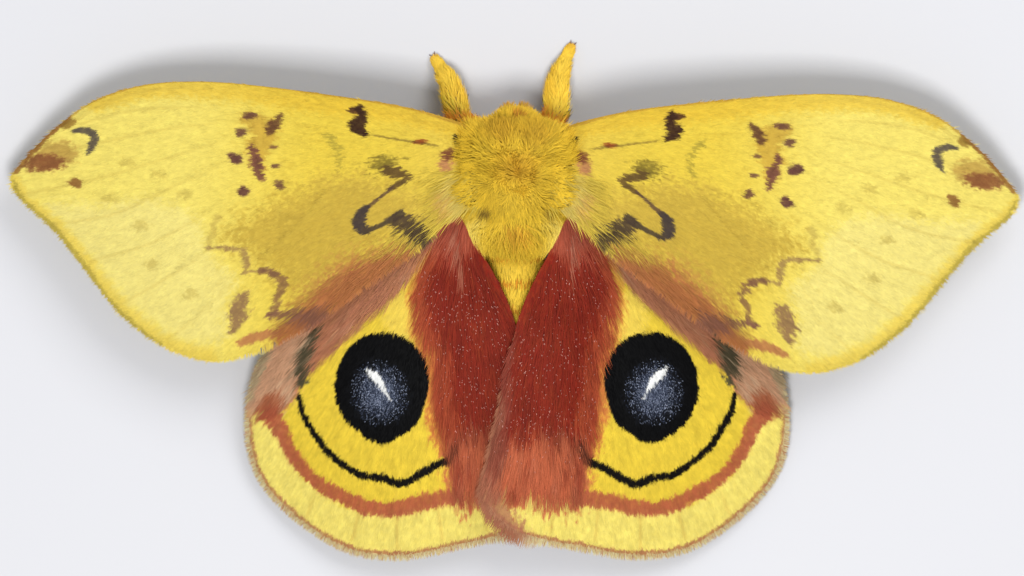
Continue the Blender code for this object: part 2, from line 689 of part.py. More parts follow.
def make_head(collection, materials):
    """A low, round head with palps, a fringe of locks and a socket for each eye."""
    sockets = []
    for side, sign in SIDES.items():
        x, y, z = EYE_CENTRE
        form = ((sign * x, y, z), (EYE_RADIUS,) * 3)
        sockets.append(ellipsoid(f"socket_{side}", form, collection, grown=GAP, sides=14, rings=9))
        eye = ellipsoid(f"eye_{side}", form, collection, sides=14, rings=9)
        eye.data.materials.append(materials["eye"])
    neighbours = [tree_of(obj) for obj in collection.objects if obj not in sockets]
    head = lump("head", HEAD, collection)
    pieces = []
    for side, sign in SIDES.items():
        path = [(sign * x, y, z) for x, y, z in PALP]
        pieces.append(tube(f"palp_{side}", path, PALP_RADIUS, collection, sides=6))
    for row, (tilt, count) in enumerate(HEAD_ROWS):
        for k in range(count):
            turn = math.pi * ((k + 0.5) / count - 0.5) * 0.9
            out = Vector((math.sin(tilt) * math.sin(turn), math.sin(tilt) * math.cos(turn), math.cos(tilt)))
            root, normal = on_lumps(Vector(HEAD[0]) + Vector([o * h for o, h in zip(out, HEAD[1])]), [HEAD])
            lie = Vector((out.x, 0.8, -0.2))
            lie = (lie - normal * lie.dot(normal)).normalized()
            pieces += lumps_lock(f"head_lock_{row}_{k}", root, lie, HEAD_LOCK, HEAD_COAT, [HEAD], collection,
                                 neighbours)
    join(head, pieces)
    cut(head, sockets + grown_thorax(collection))
    head.data.materials.append(materials["fur"])


def make_antenna(side, collection, materials):
    """A shaft with a comb of rami on both sides, swept towards its tip."""
    sign = SIDES[side]
    path = spline([(sign * x, y, z) for x, y, z in ANTENNA_PATH], 1.1)
    shares, _ = line_lengths(path)
    antenna = tube(f"antenna_{side}", path, [between(SHAFT_RADIUS, float(s)) for s in shares], collection,
                   sides=SHAFT_SIDES)
    rami = []
    for k in range(RAMUS_PAIRS):
        at = between(RAMUS_FROM_TO, k / (RAMUS_PAIRS - 1))
        root, beyond = (Vector([float(np.interp(s, shares, path[:, axis])) for axis in range(3)])
                        for s in (at, min(at + 0.03, 1.0)))
        ahead = (beyond - root).normalized()
        across = ahead.cross(Vector((0, 0, 1))).normalized()
        up = across.cross(ahead)
        length = float(np.interp(k / (RAMUS_PAIRS - 1), np.linspace(0, 1, len(RAMUS_LENGTHS)), RAMUS_LENGTHS))
        for hand in (-1, 1):
            sweep = math.radians(RAMUS_SWEEP)
            out = ahead * math.cos(sweep) + across * hand * math.sin(sweep)
            points = [root, root + out * length * 0.55 - up * RAMUS_DROOP * 0.3,
                      root + out * length + ahead * length * 0.1 - up * RAMUS_DROOP]
            rami.append(ramus(f"ramus_{k}_{hand}", points, up, collection))
    join(antenna, rami)
    cut(antenna, [ellipsoid("face", HEAD, collection, grown=GAP, sides=20, rings=12), *grown_thorax(collection)])
    antenna.data.materials.append(materials["antenna"])


def ramus(name, points, up, collection):
    """One tooth of the antenna's comb, four-sided and tapered."""
    bm = bmesh.new()
    rings = []
    for i, shape in enumerate(RAMUS_TAPER):
        ahead = (points[min(i + 1, 2)] - points[max(i - 1, 0)]).normalized()
        across = ahead.cross(up).normalized()
        side, rise = across * RAMUS_SIZE[0] * shape / 2, up * RAMUS_SIZE[1] * shape / 2
        rings.append([bm.verts.new(points[i] + c) for c in (side + rise, rise - side, -side - rise, side - rise)])
    for near, far in zip(rings, rings[1:]):
        for k in range(4):
            bm.faces.new([near[k], near[(k + 1) % 4], far[(k + 1) % 4], far[k]])
    bm.faces.new(list(reversed(rings[0])))
    bm.faces.new(rings[-1])
    bmesh.ops.recalc_face_normals(bm, faces=bm.faces)
    return new_object(name, bm, collection)


def leg_locks(pair, side, knee, ankle, collection):
    """Locks of long hair along the shank, which lie towards the foot."""
    ahead = (ankle - knee).normalized()
    across = ahead.cross(Vector((0.0, 0.0, 1.0))).normalized()
    up = across.cross(ahead)
    locks = []
    count = LEG_LOCKS_ROUND[pair]
    for row, at in enumerate(LEG_LOCK_ROWS[pair]):
        length, width = (between((a, b), at) for a, b in zip(*LEG_LOCK))
        coat = between(LEG_COAT, at)
        core = between(LEG_RADII[pair][2:4], at)
        for k in range(count):
            turn = 2 * math.pi * (k + 0.5 * (row % 2)) / count + math.pi / 2
            out = across * math.cos(turn) + up * math.sin(turn)
            if pair != "front" and out.z < -0.1:
                continue
            root = knee.lerp(ankle, at)
            points = [root + out * core * 0.45]
            for share, rise in zip(LOCK_SHARES[1:], LOCK_RISE[1:]):
                reach = length * share * random.uniform(1 - JITTER, 1 + JITTER)
                points.append(root + ahead * reach + out * (core * 0.9 + coat * min(rise, 0.8)))
            if min(p.z for p in points) > LOCK_THICKNESS * 0.3:
                bm = lock_shape(points, [out] * len(points), width)
                locks.append(new_object(f"leg_lock_{pair}_{side}_{row}_{k}", bm, collection))
    return locks


def make_leg(pair, side, collection, materials):
    """One leg with a bent knee, a foot that lies flat and two claws."""
    sign = SIDES[side]
    paths = LEG_PATHS[pair]
    joints = [Vector((sign * x, y, z)) for x, y, z in paths.get(side, paths.get("both"))]
    widths = LEG_RADII[pair]
    points, radii = [], []
    for (near, far), ends in zip(zip(joints, joints[1:]), zip(widths, widths[1:])):
        for share, swell in SEGMENT_SWELL:
            points.append(near.lerp(far, share))
            radii.append(between(ends, share) * swell)
    points.append(joints[-1])
    radii.append(widths[-1])
    leg = tube(f"leg_{pair}_{side}", points, radii, collection, sides=LEG_SIDES)
    toe = joints[-1]
    ahead = (joints[-1] - joints[-2]).normalized()
    pieces = leg_locks(pair, side, joints[2], joints[3], collection)
    for hand in (-1, 1):
        out = Matrix.Rotation(math.radians(CLAW_SPREAD * hand), 3, "Z") @ ahead
        tip = toe + out * CLAW_LENGTH
        tip.z = CLAW_RADIUS * 0.5
        pieces.append(tube(f"claw_{hand}", [toe - out * 0.25, toe + out * 0.3 + Vector((0, 0, 0.1)), tip],
                           (CLAW_RADIUS, CLAW_RADIUS * 0.85, CLAW_RADIUS * 0.4), collection, sides=5,
                           turn=0.25 + 0.1 * hand))
    join(leg, pieces)
    cut(leg, [*grown_thorax(collection), floor_cutter(collection)])
    leg.data.materials.append(materials["leg"])


def floor_cutter(collection):
    """A slab below the floor, which cuts a flat sole on each foot at z = 0."""
    bm = bmesh.new()
    bmesh.ops.create_cube(bm, size=1.0)
    bm.transform(Matrix.Translation((0.0, 0.0, -FLOOR_CUT[2] / 2)) @ Matrix.Diagonal((*FLOOR_CUT, 1.0)))
    return new_object("floor", bm, collection)


def centre_on_floor(collection):
    """Put the origin on the floor below the middle of the moth's box."""
    corners = [corner.co for obj in collection.objects for corner in obj.data.vertices]
    middle = [(min(c[k] for c in corners) + max(c[k] for c in corners)) / 2 for k in (0, 1)]
    for obj in collection.objects:
        obj.data.transform(Matrix.Translation((-middle[0], -middle[1], 0.0)))


def main():
    clear_scene()
    random.seed(COAT_SEED)
    collection = new_collection("io_moth")
    materials = {name: new_material(name) for name in COLOURS}
    make_wings(collection, materials)
    make_abdomen(collection, materials)
    for side in SIDES:
        make_antenna(side, collection, materials)
        for pair in LEG_PATHS:
            make_leg(pair, side, collection, materials)
    make_head(collection, materials)
    make_thorax(collection, materials)
    centre_on_floor(collection)


main()
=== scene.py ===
"""The looks of a life-size io moth (a male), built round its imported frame.

Places are in millimetres about the thorax: x is outwards to the moth's right, y towards its head and z
up from the floor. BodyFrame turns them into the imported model's metres. Marks on the wings are given for
the right side, and the left one mirrors them.
"""

import json
import logging
import math
from dataclasses import dataclass, field
from enum import Enum
from typing import Any, Callable, Optional, Sequence, Tuple, Union

import bpy
import numpy as np
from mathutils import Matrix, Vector

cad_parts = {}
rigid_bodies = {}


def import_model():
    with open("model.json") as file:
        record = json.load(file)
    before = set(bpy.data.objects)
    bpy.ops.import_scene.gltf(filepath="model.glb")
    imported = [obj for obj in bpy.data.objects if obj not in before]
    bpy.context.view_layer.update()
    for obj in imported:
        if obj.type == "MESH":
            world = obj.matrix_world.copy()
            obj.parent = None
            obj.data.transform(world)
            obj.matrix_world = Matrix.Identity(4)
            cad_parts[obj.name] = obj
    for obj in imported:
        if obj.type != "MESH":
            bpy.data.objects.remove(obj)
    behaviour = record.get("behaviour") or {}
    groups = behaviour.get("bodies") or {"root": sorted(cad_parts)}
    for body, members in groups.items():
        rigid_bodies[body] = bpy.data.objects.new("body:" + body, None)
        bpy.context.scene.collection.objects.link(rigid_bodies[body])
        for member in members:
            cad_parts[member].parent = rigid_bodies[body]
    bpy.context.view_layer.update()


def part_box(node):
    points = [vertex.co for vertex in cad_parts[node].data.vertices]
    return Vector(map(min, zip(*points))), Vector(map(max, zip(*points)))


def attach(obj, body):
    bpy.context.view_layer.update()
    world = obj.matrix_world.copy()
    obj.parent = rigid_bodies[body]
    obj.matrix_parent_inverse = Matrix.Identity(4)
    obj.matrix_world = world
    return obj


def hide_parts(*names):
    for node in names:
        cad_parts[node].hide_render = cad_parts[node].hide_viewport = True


LOG = logging.getLogger("io_moth")
MM = 0.001
BODY = "root"
COLOUR_LAYER = "coat_colour"
HAIR_MAP = "HairLie"
TUFT_MAP = "OFBake"
TUFT_PATCH = 0.003               # how far across a tuft's patch is on the unwrapped skin
LIGHT_SHARE = 0.76               # colours are named as they look in the studio's light, which is over 1
BRIGHTEST = 0.93                 # the most that a tuft's colour has, so that a lit one keeps its hue
MARK_STEP = 0.35                 # millimetres between the points of a mark's curve
SPECK = 0.12                     # millimetres across a speck of loose scales
Array = np.ndarray
Point = Tuple[float, float]
Place = Tuple[float, float, float]

UPRIGHT = np.array([0.0, 0.0, 1.0])
ASKEW = np.array([0.02, 0.03, 1.0])                 # nearly upright, so that no limb runs along it
MIXERS = (374761393, 668265263, 69069, 1274126177)  # odd numbers that turn a cell's place into a random one


class Side(Enum):
    """One of the moth's own sides, with the sign of its x."""

    LEFT = -1
    RIGHT = 1

    @property
    def label(self) -> str:
        """The side's word in node names."""
        return self.name.lower()


class Face(Enum):
    """The upper or the lower face of a wing, with the sign of its z."""

    UPPER = 1
    LOWER = -1


@dataclass(frozen=True)
class BodyFrame:
    """Where the thorax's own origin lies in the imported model.

    Attributes:
        shift: The origin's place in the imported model, in millimetres.
    """

    shift: Place

    @classmethod
    def from_eyes(cls, eye_y: float) -> "BodyFrame":
        """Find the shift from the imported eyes, whose y on the moth is known.

        Args:
            eye_y: The eyes' y in the moth's own millimetres.

        Returns:
            The frame.
        """
        corners = [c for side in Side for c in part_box(f"eye_{side.label}")]
        middle = sum(corners, corners[0] * 0) / len(corners) / MM
        return cls((middle.x, middle.y - eye_y, 0.0))

    def metres(self, points: Array) -> Array:
        """Turn the moth's millimetres into the model's metres."""
        return (points + np.array(self.shift)) * MM


# Colour

def linear(colour: Union[str, Array]) -> Array:
    """Turn sRGB colour to linear light.

    Args:
        colour: A hex value, or an array of sRGB values from 0 to 1.

    Returns:
        The same colours, linear.
    """
    if isinstance(colour, str):
        colour = srgb(colour)
    return np.where(colour <= 0.04045, colour / 12.92, ((np.maximum(colour, 0.0) + 0.055) / 1.055) ** 2.4)


def srgb(colour: str) -> Array:
    """Read a hex value as three numbers from 0 to 1."""
    return np.array([int(colour[k:k + 2], 16) for k in (1, 3, 5)]) / 255.0


# Numbers and lines

def smooth(value: Array, low: float, high: float) -> Array:
    """A soft step from 0 at low to 1 at high."""
    share = np.clip((value - low) / (high - low), 0.0, 1.0)
    return share * share * (3.0 - 2.0 * share)


def unit(vectors: Array) -> Array:
    """The vectors, each made one long."""
    return vectors / np.maximum(np.linalg.norm(vectors, axis=-1, keepdims=True), 1e-9)


def noise(points: Array, seed: int) -> Array:
    """Smooth noise from -1 to 1, with about one bump to each unit square.

    Args:
        points: Places on a plane, already divided by the bumps' size.
        seed: Picks one of many patterns.

    Returns:
        One value for each point.
    """
    cell = np.floor(points).astype(np.int64)
    share = points - cell
    share = share * share * (3.0 - 2.0 * share)

    def corner(right: int, up: int) -> Array:
        """The random value at one corner of each point's cell.

        Args:
            right: 0 or 1, how many cells to the right.
            up: 0 or 1, how many cells up.

        Returns:
            The values, from -1 to 1.
        """
        mixed = (cell[:, 0] + right) * MIXERS[0] + (cell[:, 1] + up) * MIXERS[1] + seed * MIXERS[2]
        mixed = mixed & 0xFFFFFFFF
        mixed = ((mixed ^ (mixed >> 13)) * MIXERS[3]) & 0xFFFFFFFF
        return ((mixed ^ (mixed >> 16)) & 0xFFFF) / 32767.5 - 1.0

    low = corner(0, 0) * (1 - share[:, 0]) + corner(1, 0) * share[:, 0]
    high = corner(0, 1) * (1 - share[:, 0]) + corner(1, 1) * share[:, 0]
    return low * (1 - share[:, 1]) + high * share[:, 1]


def spline(points: Sequence[Sequence[float]], step: float, closed: bool = False) -> Array:
    """Points about a step apart on a smooth curve through the given ones.

    Args:
        points: What the curve goes through.
        step: The distance between the new points.
        closed: Whether the curve returns to its start.

    Returns:
        The new points, one to a row.
    """
    given = np.array(points, float)
    count = len(given)
    made = []
    for i in range(count if closed else count - 1):
        if closed:
            before, start, end, after = (given[(i + k) % count] for k in (-1, 0, 1, 2))
        else:
            start, end = given[i], given[i + 1]
            before = given[i - 1] if i else 2 * start - end
            after = given[i + 2] if i + 2 < count else 2 * end - start
        parts = max(1, round(float(np.linalg.norm(end - start)) / step))
        for t in np.arange(parts) / parts:
            bend = (2 * before - 5 * start + 4 * end - after) * t * t
            made.append(0.5 * (2 * start + (end - before) * t + bend
                               + (3 * start - before - 3 * end + after) * t ** 3))
    if not closed:
        made.append(given[-1])
    return np.array(made)


def line_shares(line: Array) -> Array:
    """The share of the line's length at which each of its points lies."""
    steps = np.linalg.norm(np.diff(line, axis=0), axis=1)
    return np.concatenate([[0.0], np.cumsum(steps)]) / steps.sum()


def on_line(line: Array, shares: Array, at: Array) -> Array:
    """Points on a line, between its own ones.

    Args:
        line: The line's points.
        shares: A rising number for each of them.
        at: The numbers to find.

    Returns:
        A point for each number.
    """
    return np.stack([np.interp(at, shares, line[:, k]) for k in range(line.shape[1])], 1)


def square_to(ahead: Array, upright: Array) -> Tuple[Array, Array]:
    """The two directions that are square to each given one.

    Args:
        ahead: Directions, each one long.
        upright: What the second direction is near.

    Returns:
        The direction across, and the one up.
    """
    across = unit(np.cross(ahead, upright))
    return across, np.cross(across, ahead)


def distance_to_line(points: Array, line: Array) -> Tuple[Array, Array]:
    """How far points are from a line, and the share of the line where each is nearest.

    Args:
        points: Places on the plane.
        line: The line's own points.

    Returns:
        The distances and the shares.
    """
    shares = line_shares(line)
    best = np.full(len(points), np.inf)
    at = np.zeros(len(points))
    for k, start in enumerate(line[:-1]):
        along = line[k + 1] - start
        t = np.clip((points - start) @ along / max(float(along @ along), 1e-12), 0.0, 1.0)
        gap = np.linalg.norm(points - start - t[:, None] * along, axis=1)
        nearer = gap < best
        best[nearer] = gap[nearer]
        at[nearer] = (shares[k] + t * (shares[k + 1] - shares[k]))[nearer]
    return best, at


def inside(points: Array, outline: Array) -> Array:
    """Find the points that lie inside a closed outline.

    Args:
        points: Places on the plane.
        outline: The outline's points, in order.

    Returns:
        True for each point inside.
    """
    found = np.zeros(len(points), bool)
    for near, far in zip(outline, np.roll(outline, -1, axis=0)):
        crosses = (near[1] > points[:, 1]) != (far[1] > points[:, 1])
        rise = far[1] - near[1] if abs(far[1] - near[1]) > 1e-12 else 1e-12
        found ^= crosses & (points[:, 0] < near[0] + (points[:, 1] - near[1]) * (far[0] - near[0]) / rise)
    return found


# Marks of coloured scales

@dataclass(frozen=True)
class Mark:
    """Coloured scales on a wing. Its edge is drawn out along the hairs.

    Attributes:
        colour: The scales' colour.
        strength: How much of the ground they hide, from 0 to 1.
        soft: The share of the mark's own half width over which it fades, or millimetres on a field.
        ragged: How far the hairs carry its edge, in millimetres.
        dust: The share of the mark that is loose specks and not full colour.
    """

    colour: str
    strength: float = 1.0
    soft: float = 0.35
    ragged: float = 0.15
    dust: float = 0.0

    def cover(self, points: Array) -> Array:
        """How much the mark covers each point, from 0 to 1."""
        raise NotImplementedError


@dataclass(frozen=True)
class Spot(Mark):
    """An oval mark.

    Attributes:
        at: Its middle.
        half: Its half length and half width.
        turn: How far its length is turned from x, in degrees.
    """

    at: Point = (0.0, 0.0)
    half: Point = (1.0, 1.0)
    turn: float = 0.0

    def cover(self, points: Array) -> Array:
        """How much the spot covers each point.

        Args:
            points: Places on the plane.

        Returns:
            A number from 0 to 1 for each.
        """
        angle = math.radians(self.turn)
        offset = points - np.array(self.at)
        along = offset @ np.array([math.cos(angle), math.sin(angle)]) / self.half[0]
        across = offset @ np.array([-math.sin(angle), math.cos(angle)]) / self.half[1]
        return 1.0 - smooth(np.hypot(along, across), 1.0 - self.soft, 1.0 + self.soft)


@dataclass(frozen=True)
class Stroke(Mark):
    """A line that swells and tapers.

    Attributes:
        path: What it goes through.
        widths: Its width at even steps from its start to its end.
    """

    path: Sequence[Point] = ()
    widths: Sequence[float] = (0.3,)

    def cover(self, points: Array) -> Array:
        """How much the stroke covers each point.

        Args:
            points: Places on the plane.

        Returns:
            A number from 0 to 1 for each.
        """
        reach = max(self.widths)
        low, high = np.min(self.path, axis=0) - reach, np.max(self.path, axis=0) + reach
        near = np.all((points > low) & (points < high), axis=1)
        covered = np.zeros(len(points))
        if near.any():
            gap, share = distance_to_line(points[near], spline(self.path, MARK_STEP))
            half = np.interp(share, np.linspace(0.0, 1.0, len(self.widths)), self.widths) / 2
            covered[near] = 1.0 - smooth(gap / half, 1.0 - self.soft, 1.0 + self.soft)
        return covered


@dataclass(frozen=True)
class Field(Mark):
    """An area inside a smooth closed outline.

    Attributes:
        outline: What its edge goes through.
    """

    outline: Sequence[Point] = ()

    def cover(self, points: Array) -> Array:
        """How much the field covers each point.

        Args:
            points: Places on the plane.

        Returns:
            A number from 0 to 1 for each.
        """
        edge = spline(self.outline, 2 * MARK_STEP, closed=True)
        gap, _ = distance_to_line(points, np.vstack([edge, edge[:1]]))
        depth = np.where(inside(points, edge), gap, -gap)
        return smooth(depth, -self.soft / 2, self.soft / 2)


class Paint:
    """The colours of many points of a surface, laid on one mark after the other.

    Attributes:
        points: Places on the plane, one to a row.
        lie: The hairs' direction there.
        comb: How far each hair's edge is carried along it, from -1 to 1.
        speck: Loose specks, from 0 to 1.
        grain: A fine unevenness, from -1 to 1.
        colour: The sRGB colours so far.
    """

    def __init__(self, points: Array, lie: Array, comb: Array, ground: str) -> None:
        """Start with one colour all over.

        Args:
            points: Places on the plane, one to a row.
            lie: The hairs' direction there.
            comb: How far each hair's edge is carried along it, from -1 to 1.
            ground: The colour to start with.
        """
        self.points, self.lie, self.comb = points, lie, comb
        self.speck = noise(points / SPECK, 71) * 0.5 + 0.5
        self.grain = noise(points / (SPECK * 1.7), 72)
        self.colour = np.tile(srgb(ground), (len(points), 1))

    def blend(self, colour: str, cover: Array) -> None:
        """Lay a colour on by its cover at each point."""
        share = np.clip(cover, 0.0, 1.0)[:, None]
        self.colour = self.colour * (1.0 - share) + srgb(colour) * share

    def lay(self, *marks: Mark) -> None:
        """Lay marks on.

        Args:
            marks: The marks, the lowest first.
        """
        for mark in marks:
            cover = mark.cover(self.points + self.lie * (self.comb * mark.ragged)[:, None])
            broken = smooth(cover * 1.25 - self.speck * (0.6 + 0.4 * mark.dust), 0.0, 0.65)
            self.blend(mark.colour, mark.strength * broken * (1.0 - 0.14 * np.abs(self.grain)))

    def shade(self, share: Array) -> None:
        """Make the colour lighter or darker by a share of itself."""
        self.colour = np.clip(self.colour * (1.0 + share)[:, None], 0.0, 1.0)


# Meshes

@dataclass
class Surface:
    """A mesh while it is made, in the moth's millimetres.

    Attributes:
        points: Its corners.
        faces: One array of corner numbers for each kind of face.
        colours: A linear colour for each corner.
        normals: The direction each face's corner is lit from, where it isn't the shape's own.
        maps: Its UV maps, each with a place for each corner.
        creased: True for the faces that are lit apart from those beside them.
    """

    points: Array
    faces: Sequence[Array]
    colours: Optional[Array] = None
    normals: Optional[Array] = None
    maps: dict = field(default_factory=dict)
    creased: Optional[Array] = None

    def build(self, name: str, frame: BodyFrame, material: bpy.types.Material) -> bpy.types.Object:
        """Make the Blender object.

        Args:
            name: The piece's name.
            frame: Where the moth stands.
            material: Its finish.

        Returns:
            The new object, in the scene.
        """
        mesh = bpy.data.meshes.new(name)
        corners = np.concatenate([f.ravel() for f in self.faces]).astype(np.int32)
        sizes = np.concatenate([np.full(len(f), f.shape[1]) for f in self.faces])
        mesh.vertices.add(len(self.points))
        mesh.vertices.foreach_set("co", frame.metres(self.points).astype(np.float32).ravel())
        mesh.loops.add(len(corners))
        mesh.loops.foreach_set("vertex_index", corners)
        mesh.polygons.add(len(sizes))
        mesh.polygons.foreach_set("loop_start", (np.cumsum(sizes) - sizes).astype(np.int32))
        mesh.update(calc_edges=True)
        mesh.shade_smooth()
        if self.colours is not None:
            layer = mesh.color_attributes.new(COLOUR_LAYER, "FLOAT_COLOR", "POINT")
            full = np.column_stack([self.colours, np.ones(len(self.colours))])
            layer.data.foreach_set("color", full.astype(np.float32).ravel())
        if self.normals is not None:
            lit = mesh.attributes.new("custom_normal", "FLOAT_VECTOR", "CORNER")
            lit.data.foreach_set("vector", self.normals.astype(np.float32).ravel())
        if self.creased is not None:
            edges = np.zeros(len(corners), np.int32)
            mesh.loops.foreach_get("edge_index", edges)
            sharp = np.zeros(len(mesh.edges), bool)
            sharp[edges[np.repeat(self.creased, sizes)]] = True
            mesh.attributes.new("sharp_edge", "BOOLEAN", "EDGE").data.foreach_set("value", sharp)
        for title, places in self.maps.items():
            layer = mesh.uv_layers.new(name=title)
            layer.uv.foreach_set("vector", places[corners].astype(np.float32).ravel())
        mesh.materials.append(material)
        obj = bpy.data.objects.new(name, mesh)
        bpy.context.scene.collection.objects.link(obj)
        return obj


def grid_faces(rows: int, columns: int, first: int = 0, wrap: bool = False) -> Array:
    """The four-cornered faces of a grid of points.

    Args:
        rows: Rows of points.
        columns: Points in a row.
        first: The number of the first point.
        wrap: Whether each row closes into a ring.

    Returns:
        Four point numbers for each face.
    """
    row, column = np.meshgrid(np.arange(rows - 1), np.arange(columns if wrap else columns - 1), indexing="ij")
    after = (column + 1) % columns
    corners = [row * columns + column, row * columns + after, (row + 1) * columns + after,
               (row + 1) * columns + column]
    return np.stack([c.ravel() for c in corners], 1) + first


def tube(path: Array, radii: Array, sides: int) -> Surface:
    """A closed round tube of changing radius.

    Args:
        path: The middle line's points.
        radii: The radius at each of them.
        sides: Corners round the tube.

    Returns:
        The tube, with the share of its length and turn as its HairLie map.
    """
    across, up = square_to(unit(np.gradient(path, axis=0)), ASKEW)
    turn = np.linspace(0.0, 2 * np.pi, sides, endpoint=False)
    ring = across[:, None] * np.cos(turn)[:, None] + up[:, None] * np.sin(turn)[:, None]
    points = (path[:, None] + ring * np.asarray(radii)[:, None, None]).reshape(-1, 3)
    points = np.vstack([points, path[:1], path[-1:]])
    count, last = len(path), len(path) * sides
    rim = np.arange(sides)
    after = (rim + 1) % sides
    caps = np.vstack([np.stack([after, rim, np.full(sides, last)], 1),
                      np.stack([rim, after, np.full(sides, 0)], 1) + last - sides])
    caps[sides:, 2] = last + 1
    places = np.stack([np.repeat(np.arange(count), sides), np.tile(rim, count)], 1) / (count, sides)
    places = np.vstack([places, [[0.0, 0.0], [1.0, 0.0]]])
    faces = [grid_faces(count, sides, wrap=True)[:, ::-1], caps[:, ::-1]]
    return Surface(points, faces, maps={HAIR_MAP: places})


def ball(centre: Place, half: Place, rings: int, columns: int) -> Surface:
    """A closed oval ball.

    Args:
        centre: Its middle.
        half: Its half sizes.
        rings: Rings of points between its two poles.
        columns: Points in a ring.

    Returns:
        The ball.
    """
    turns = np.linspace(0.0, 2 * np.pi, columns, endpoint=False)
    tilts = np.linspace(0.0, np.pi, rings + 2)[1:-1]
    round_it = np.stack([np.outer(np.sin(tilts), np.cos(turns)), np.outer(np.sin(tilts), np.sin(turns)),
                         np.outer(np.cos(tilts), np.ones(columns))], 2).reshape(-1, 3)
    rim = np.arange(columns)
    after = (rim + 1) % columns
    top, last = rings * columns, (rings - 1) * columns
    caps = np.vstack([np.stack([rim, after, np.full(columns, top)], 1),
                      np.stack([after + last, rim + last, np.full(columns, top + 1)], 1)])
    points = np.vstack([round_it, [UPRIGHT, -UPRIGHT]]) * half + centre
    return Surface(points, [grid_faces(rings, columns, wrap=True)[:, ::-1], caps])


def merged(surfaces: Sequence[Surface]) -> Surface:
    """Put several surfaces together.

    Args:
        surfaces: Surfaces with the same layers.

    Returns:
        All of them as one.
    """
    starts = np.cumsum([0] + [len(s.points) for s in surfaces[:-1]])
    faces = [f + start for s, start in zip(surfaces, starts) for f in s.faces]
    colours = None if surfaces[0].colours is None else np.vstack([s.colours for s in surfaces])
    normals = None if surfaces[0].normals is None else np.vstack([s.normals for s in surfaces])
    maps = {title: np.vstack([s.maps[title] for s in surfaces]) for title in surfaces[0].maps}
    creased = None if surfaces[0].creased is None else np.concatenate([s.creased for s in surfaces])
    return Surface(np.vstack([s.points for s in surfaces]), faces, colours, normals, maps, creased)


# Coat

WIDTH_RANGE = (0.75, 1.2)        # a tuft's width, as a share of its pile's
TILT_RANGE = (0.65, 1.35)        # how far it rises, as a share of its pile's angle
CLUMP_LEAN = 1.6                 # how far clumps lean, as a share of one tuft's own stray
CLUMP_SLANT = 0.37               # how far the clumps change with height
SUNK = 0.3                       # how deep a root sits in the skin, in widths
NARROWED = 0.55                  # what a tuft loses of its width towards its tip
THICKNESS = 0.45                 # how thick it is, as a share of its width
ASKEW_SPREAD = 0.08              # how far its flat side is turned off the skin
TIP_SHADE = 1.04                 # the tip's brightness
SOAKED = (-0.6, 0.2)             # light from above soaks in where the skin looks up more than this


@dataclass(frozen=True)
class Pile:
    """How one kind of hair or scale grows.

    Attributes:
        length: In millimetres.
        width: At the root, in millimetres.
        rise: Degrees off the skin at the root.
        settle: Degrees off the skin at the tip.
        sections: Rings of corners before the tip; one makes a plain spike.
        spread: How far its direction strays, in degrees.
        clump: Millimetres across a clump of hairs that lean together.
        root_shade: The root's brightness as a share of the tip's.
        uneven: How far one hair's brightness may differ from the next one's.
        gain: How much brighter a hair is painted than the coat looks: painted light for the shade that hairs
            cast on one another, and for the shade on the head, the abdomen and the forelegs.
        even: How far a tuft is lit as the coat's surface is and not as a spike, as a fine hair lets light by.
        reach: The shortest and the longest tuft, as shares of the length.
        level: How far light from above soaks through the coat and evens out the body's own roundness.
        overhangs: Whether tufts are seen from their skin's side too, past its edge, and are lit there.
    """

    length: float
    width: float
    rise: float
    settle: float
    sections: int = 1
    spread: float = 12.0
    clump: float = 0.9
    root_shade: float = 0.82
    uneven: float = 0.09
    gain: float = 1.0
    even: float = 0.7
    reach: Point = (0.72, 1.18)
    level: float = 0.0
    overhangs: bool = False


@dataclass
class Roots:
    """Where hairs grow, with what the skin tells them.

    Attributes:
        points: The places on the skin.
        normals: The skin's direction there.
        lie: The way the hairs lie, along the skin.
        colours: The skin's sRGB colour there.
        places: The places on the skin's own unwrap, from 0 to 1.
        longer: A factor on each hair's length.
    """

    points: Array
    normals: Array
    lie: Array
    colours: Array
    places: Array
    longer: Array


def tuft_lines(roots: Roots, pile: Pile, rng: np.random.Generator,
               clear: Optional[Callable[[Array], Array]]) -> Tuple[Array, Array]:
    """Bend a middle line for each tuft, from inside the skin to its tip.

    Args:
        roots: Where the tufts stand.
        pile: Their form.
        rng: The seeded random numbers.
        clear: Moves the lines' points out of what they would cross.

    Returns:
        The points, one line to a row, and the tufts' widths.
    """
    count, sections = len(roots.points), pile.sections
    flat = roots.points[:, :2] + roots.points[:, 2:] * CLUMP_SLANT
    stray = rng.normal(0.0, pile.spread, count) + noise(flat / pile.clump, 11) * pile.spread * CLUMP_LEAN
    turn = np.radians(stray)[:, None]
    lie = roots.lie * np.cos(turn) + np.cross(roots.normals, roots.lie) * np.sin(turn)
    length = pile.length * roots.longer * rng.uniform(*pile.reach, count)
    width = pile.width * rng.uniform(*WIDTH_RANGE, count)
    tilt = rng.uniform(*TILT_RANGE, count)
    line = [roots.points - roots.normals * (pile.width * SUNK)]
    for k in range(sections):
        share = k / (sections - 1) if sections > 1 else 0.5
        angle = np.radians((pile.rise * (1 - share) + pile.settle * share) * tilt)[:, None]
        ahead = roots.normals * np.sin(angle) + lie * np.cos(angle)
        line.append(line[-1] + ahead * (length / sections)[:, None])
    path = np.stack(line, 1)
    if clear is not None:
        path[:, 1:] = clear(path[:, 1:].reshape(-1, 3)).reshape(count, sections, 3)
    return path, width


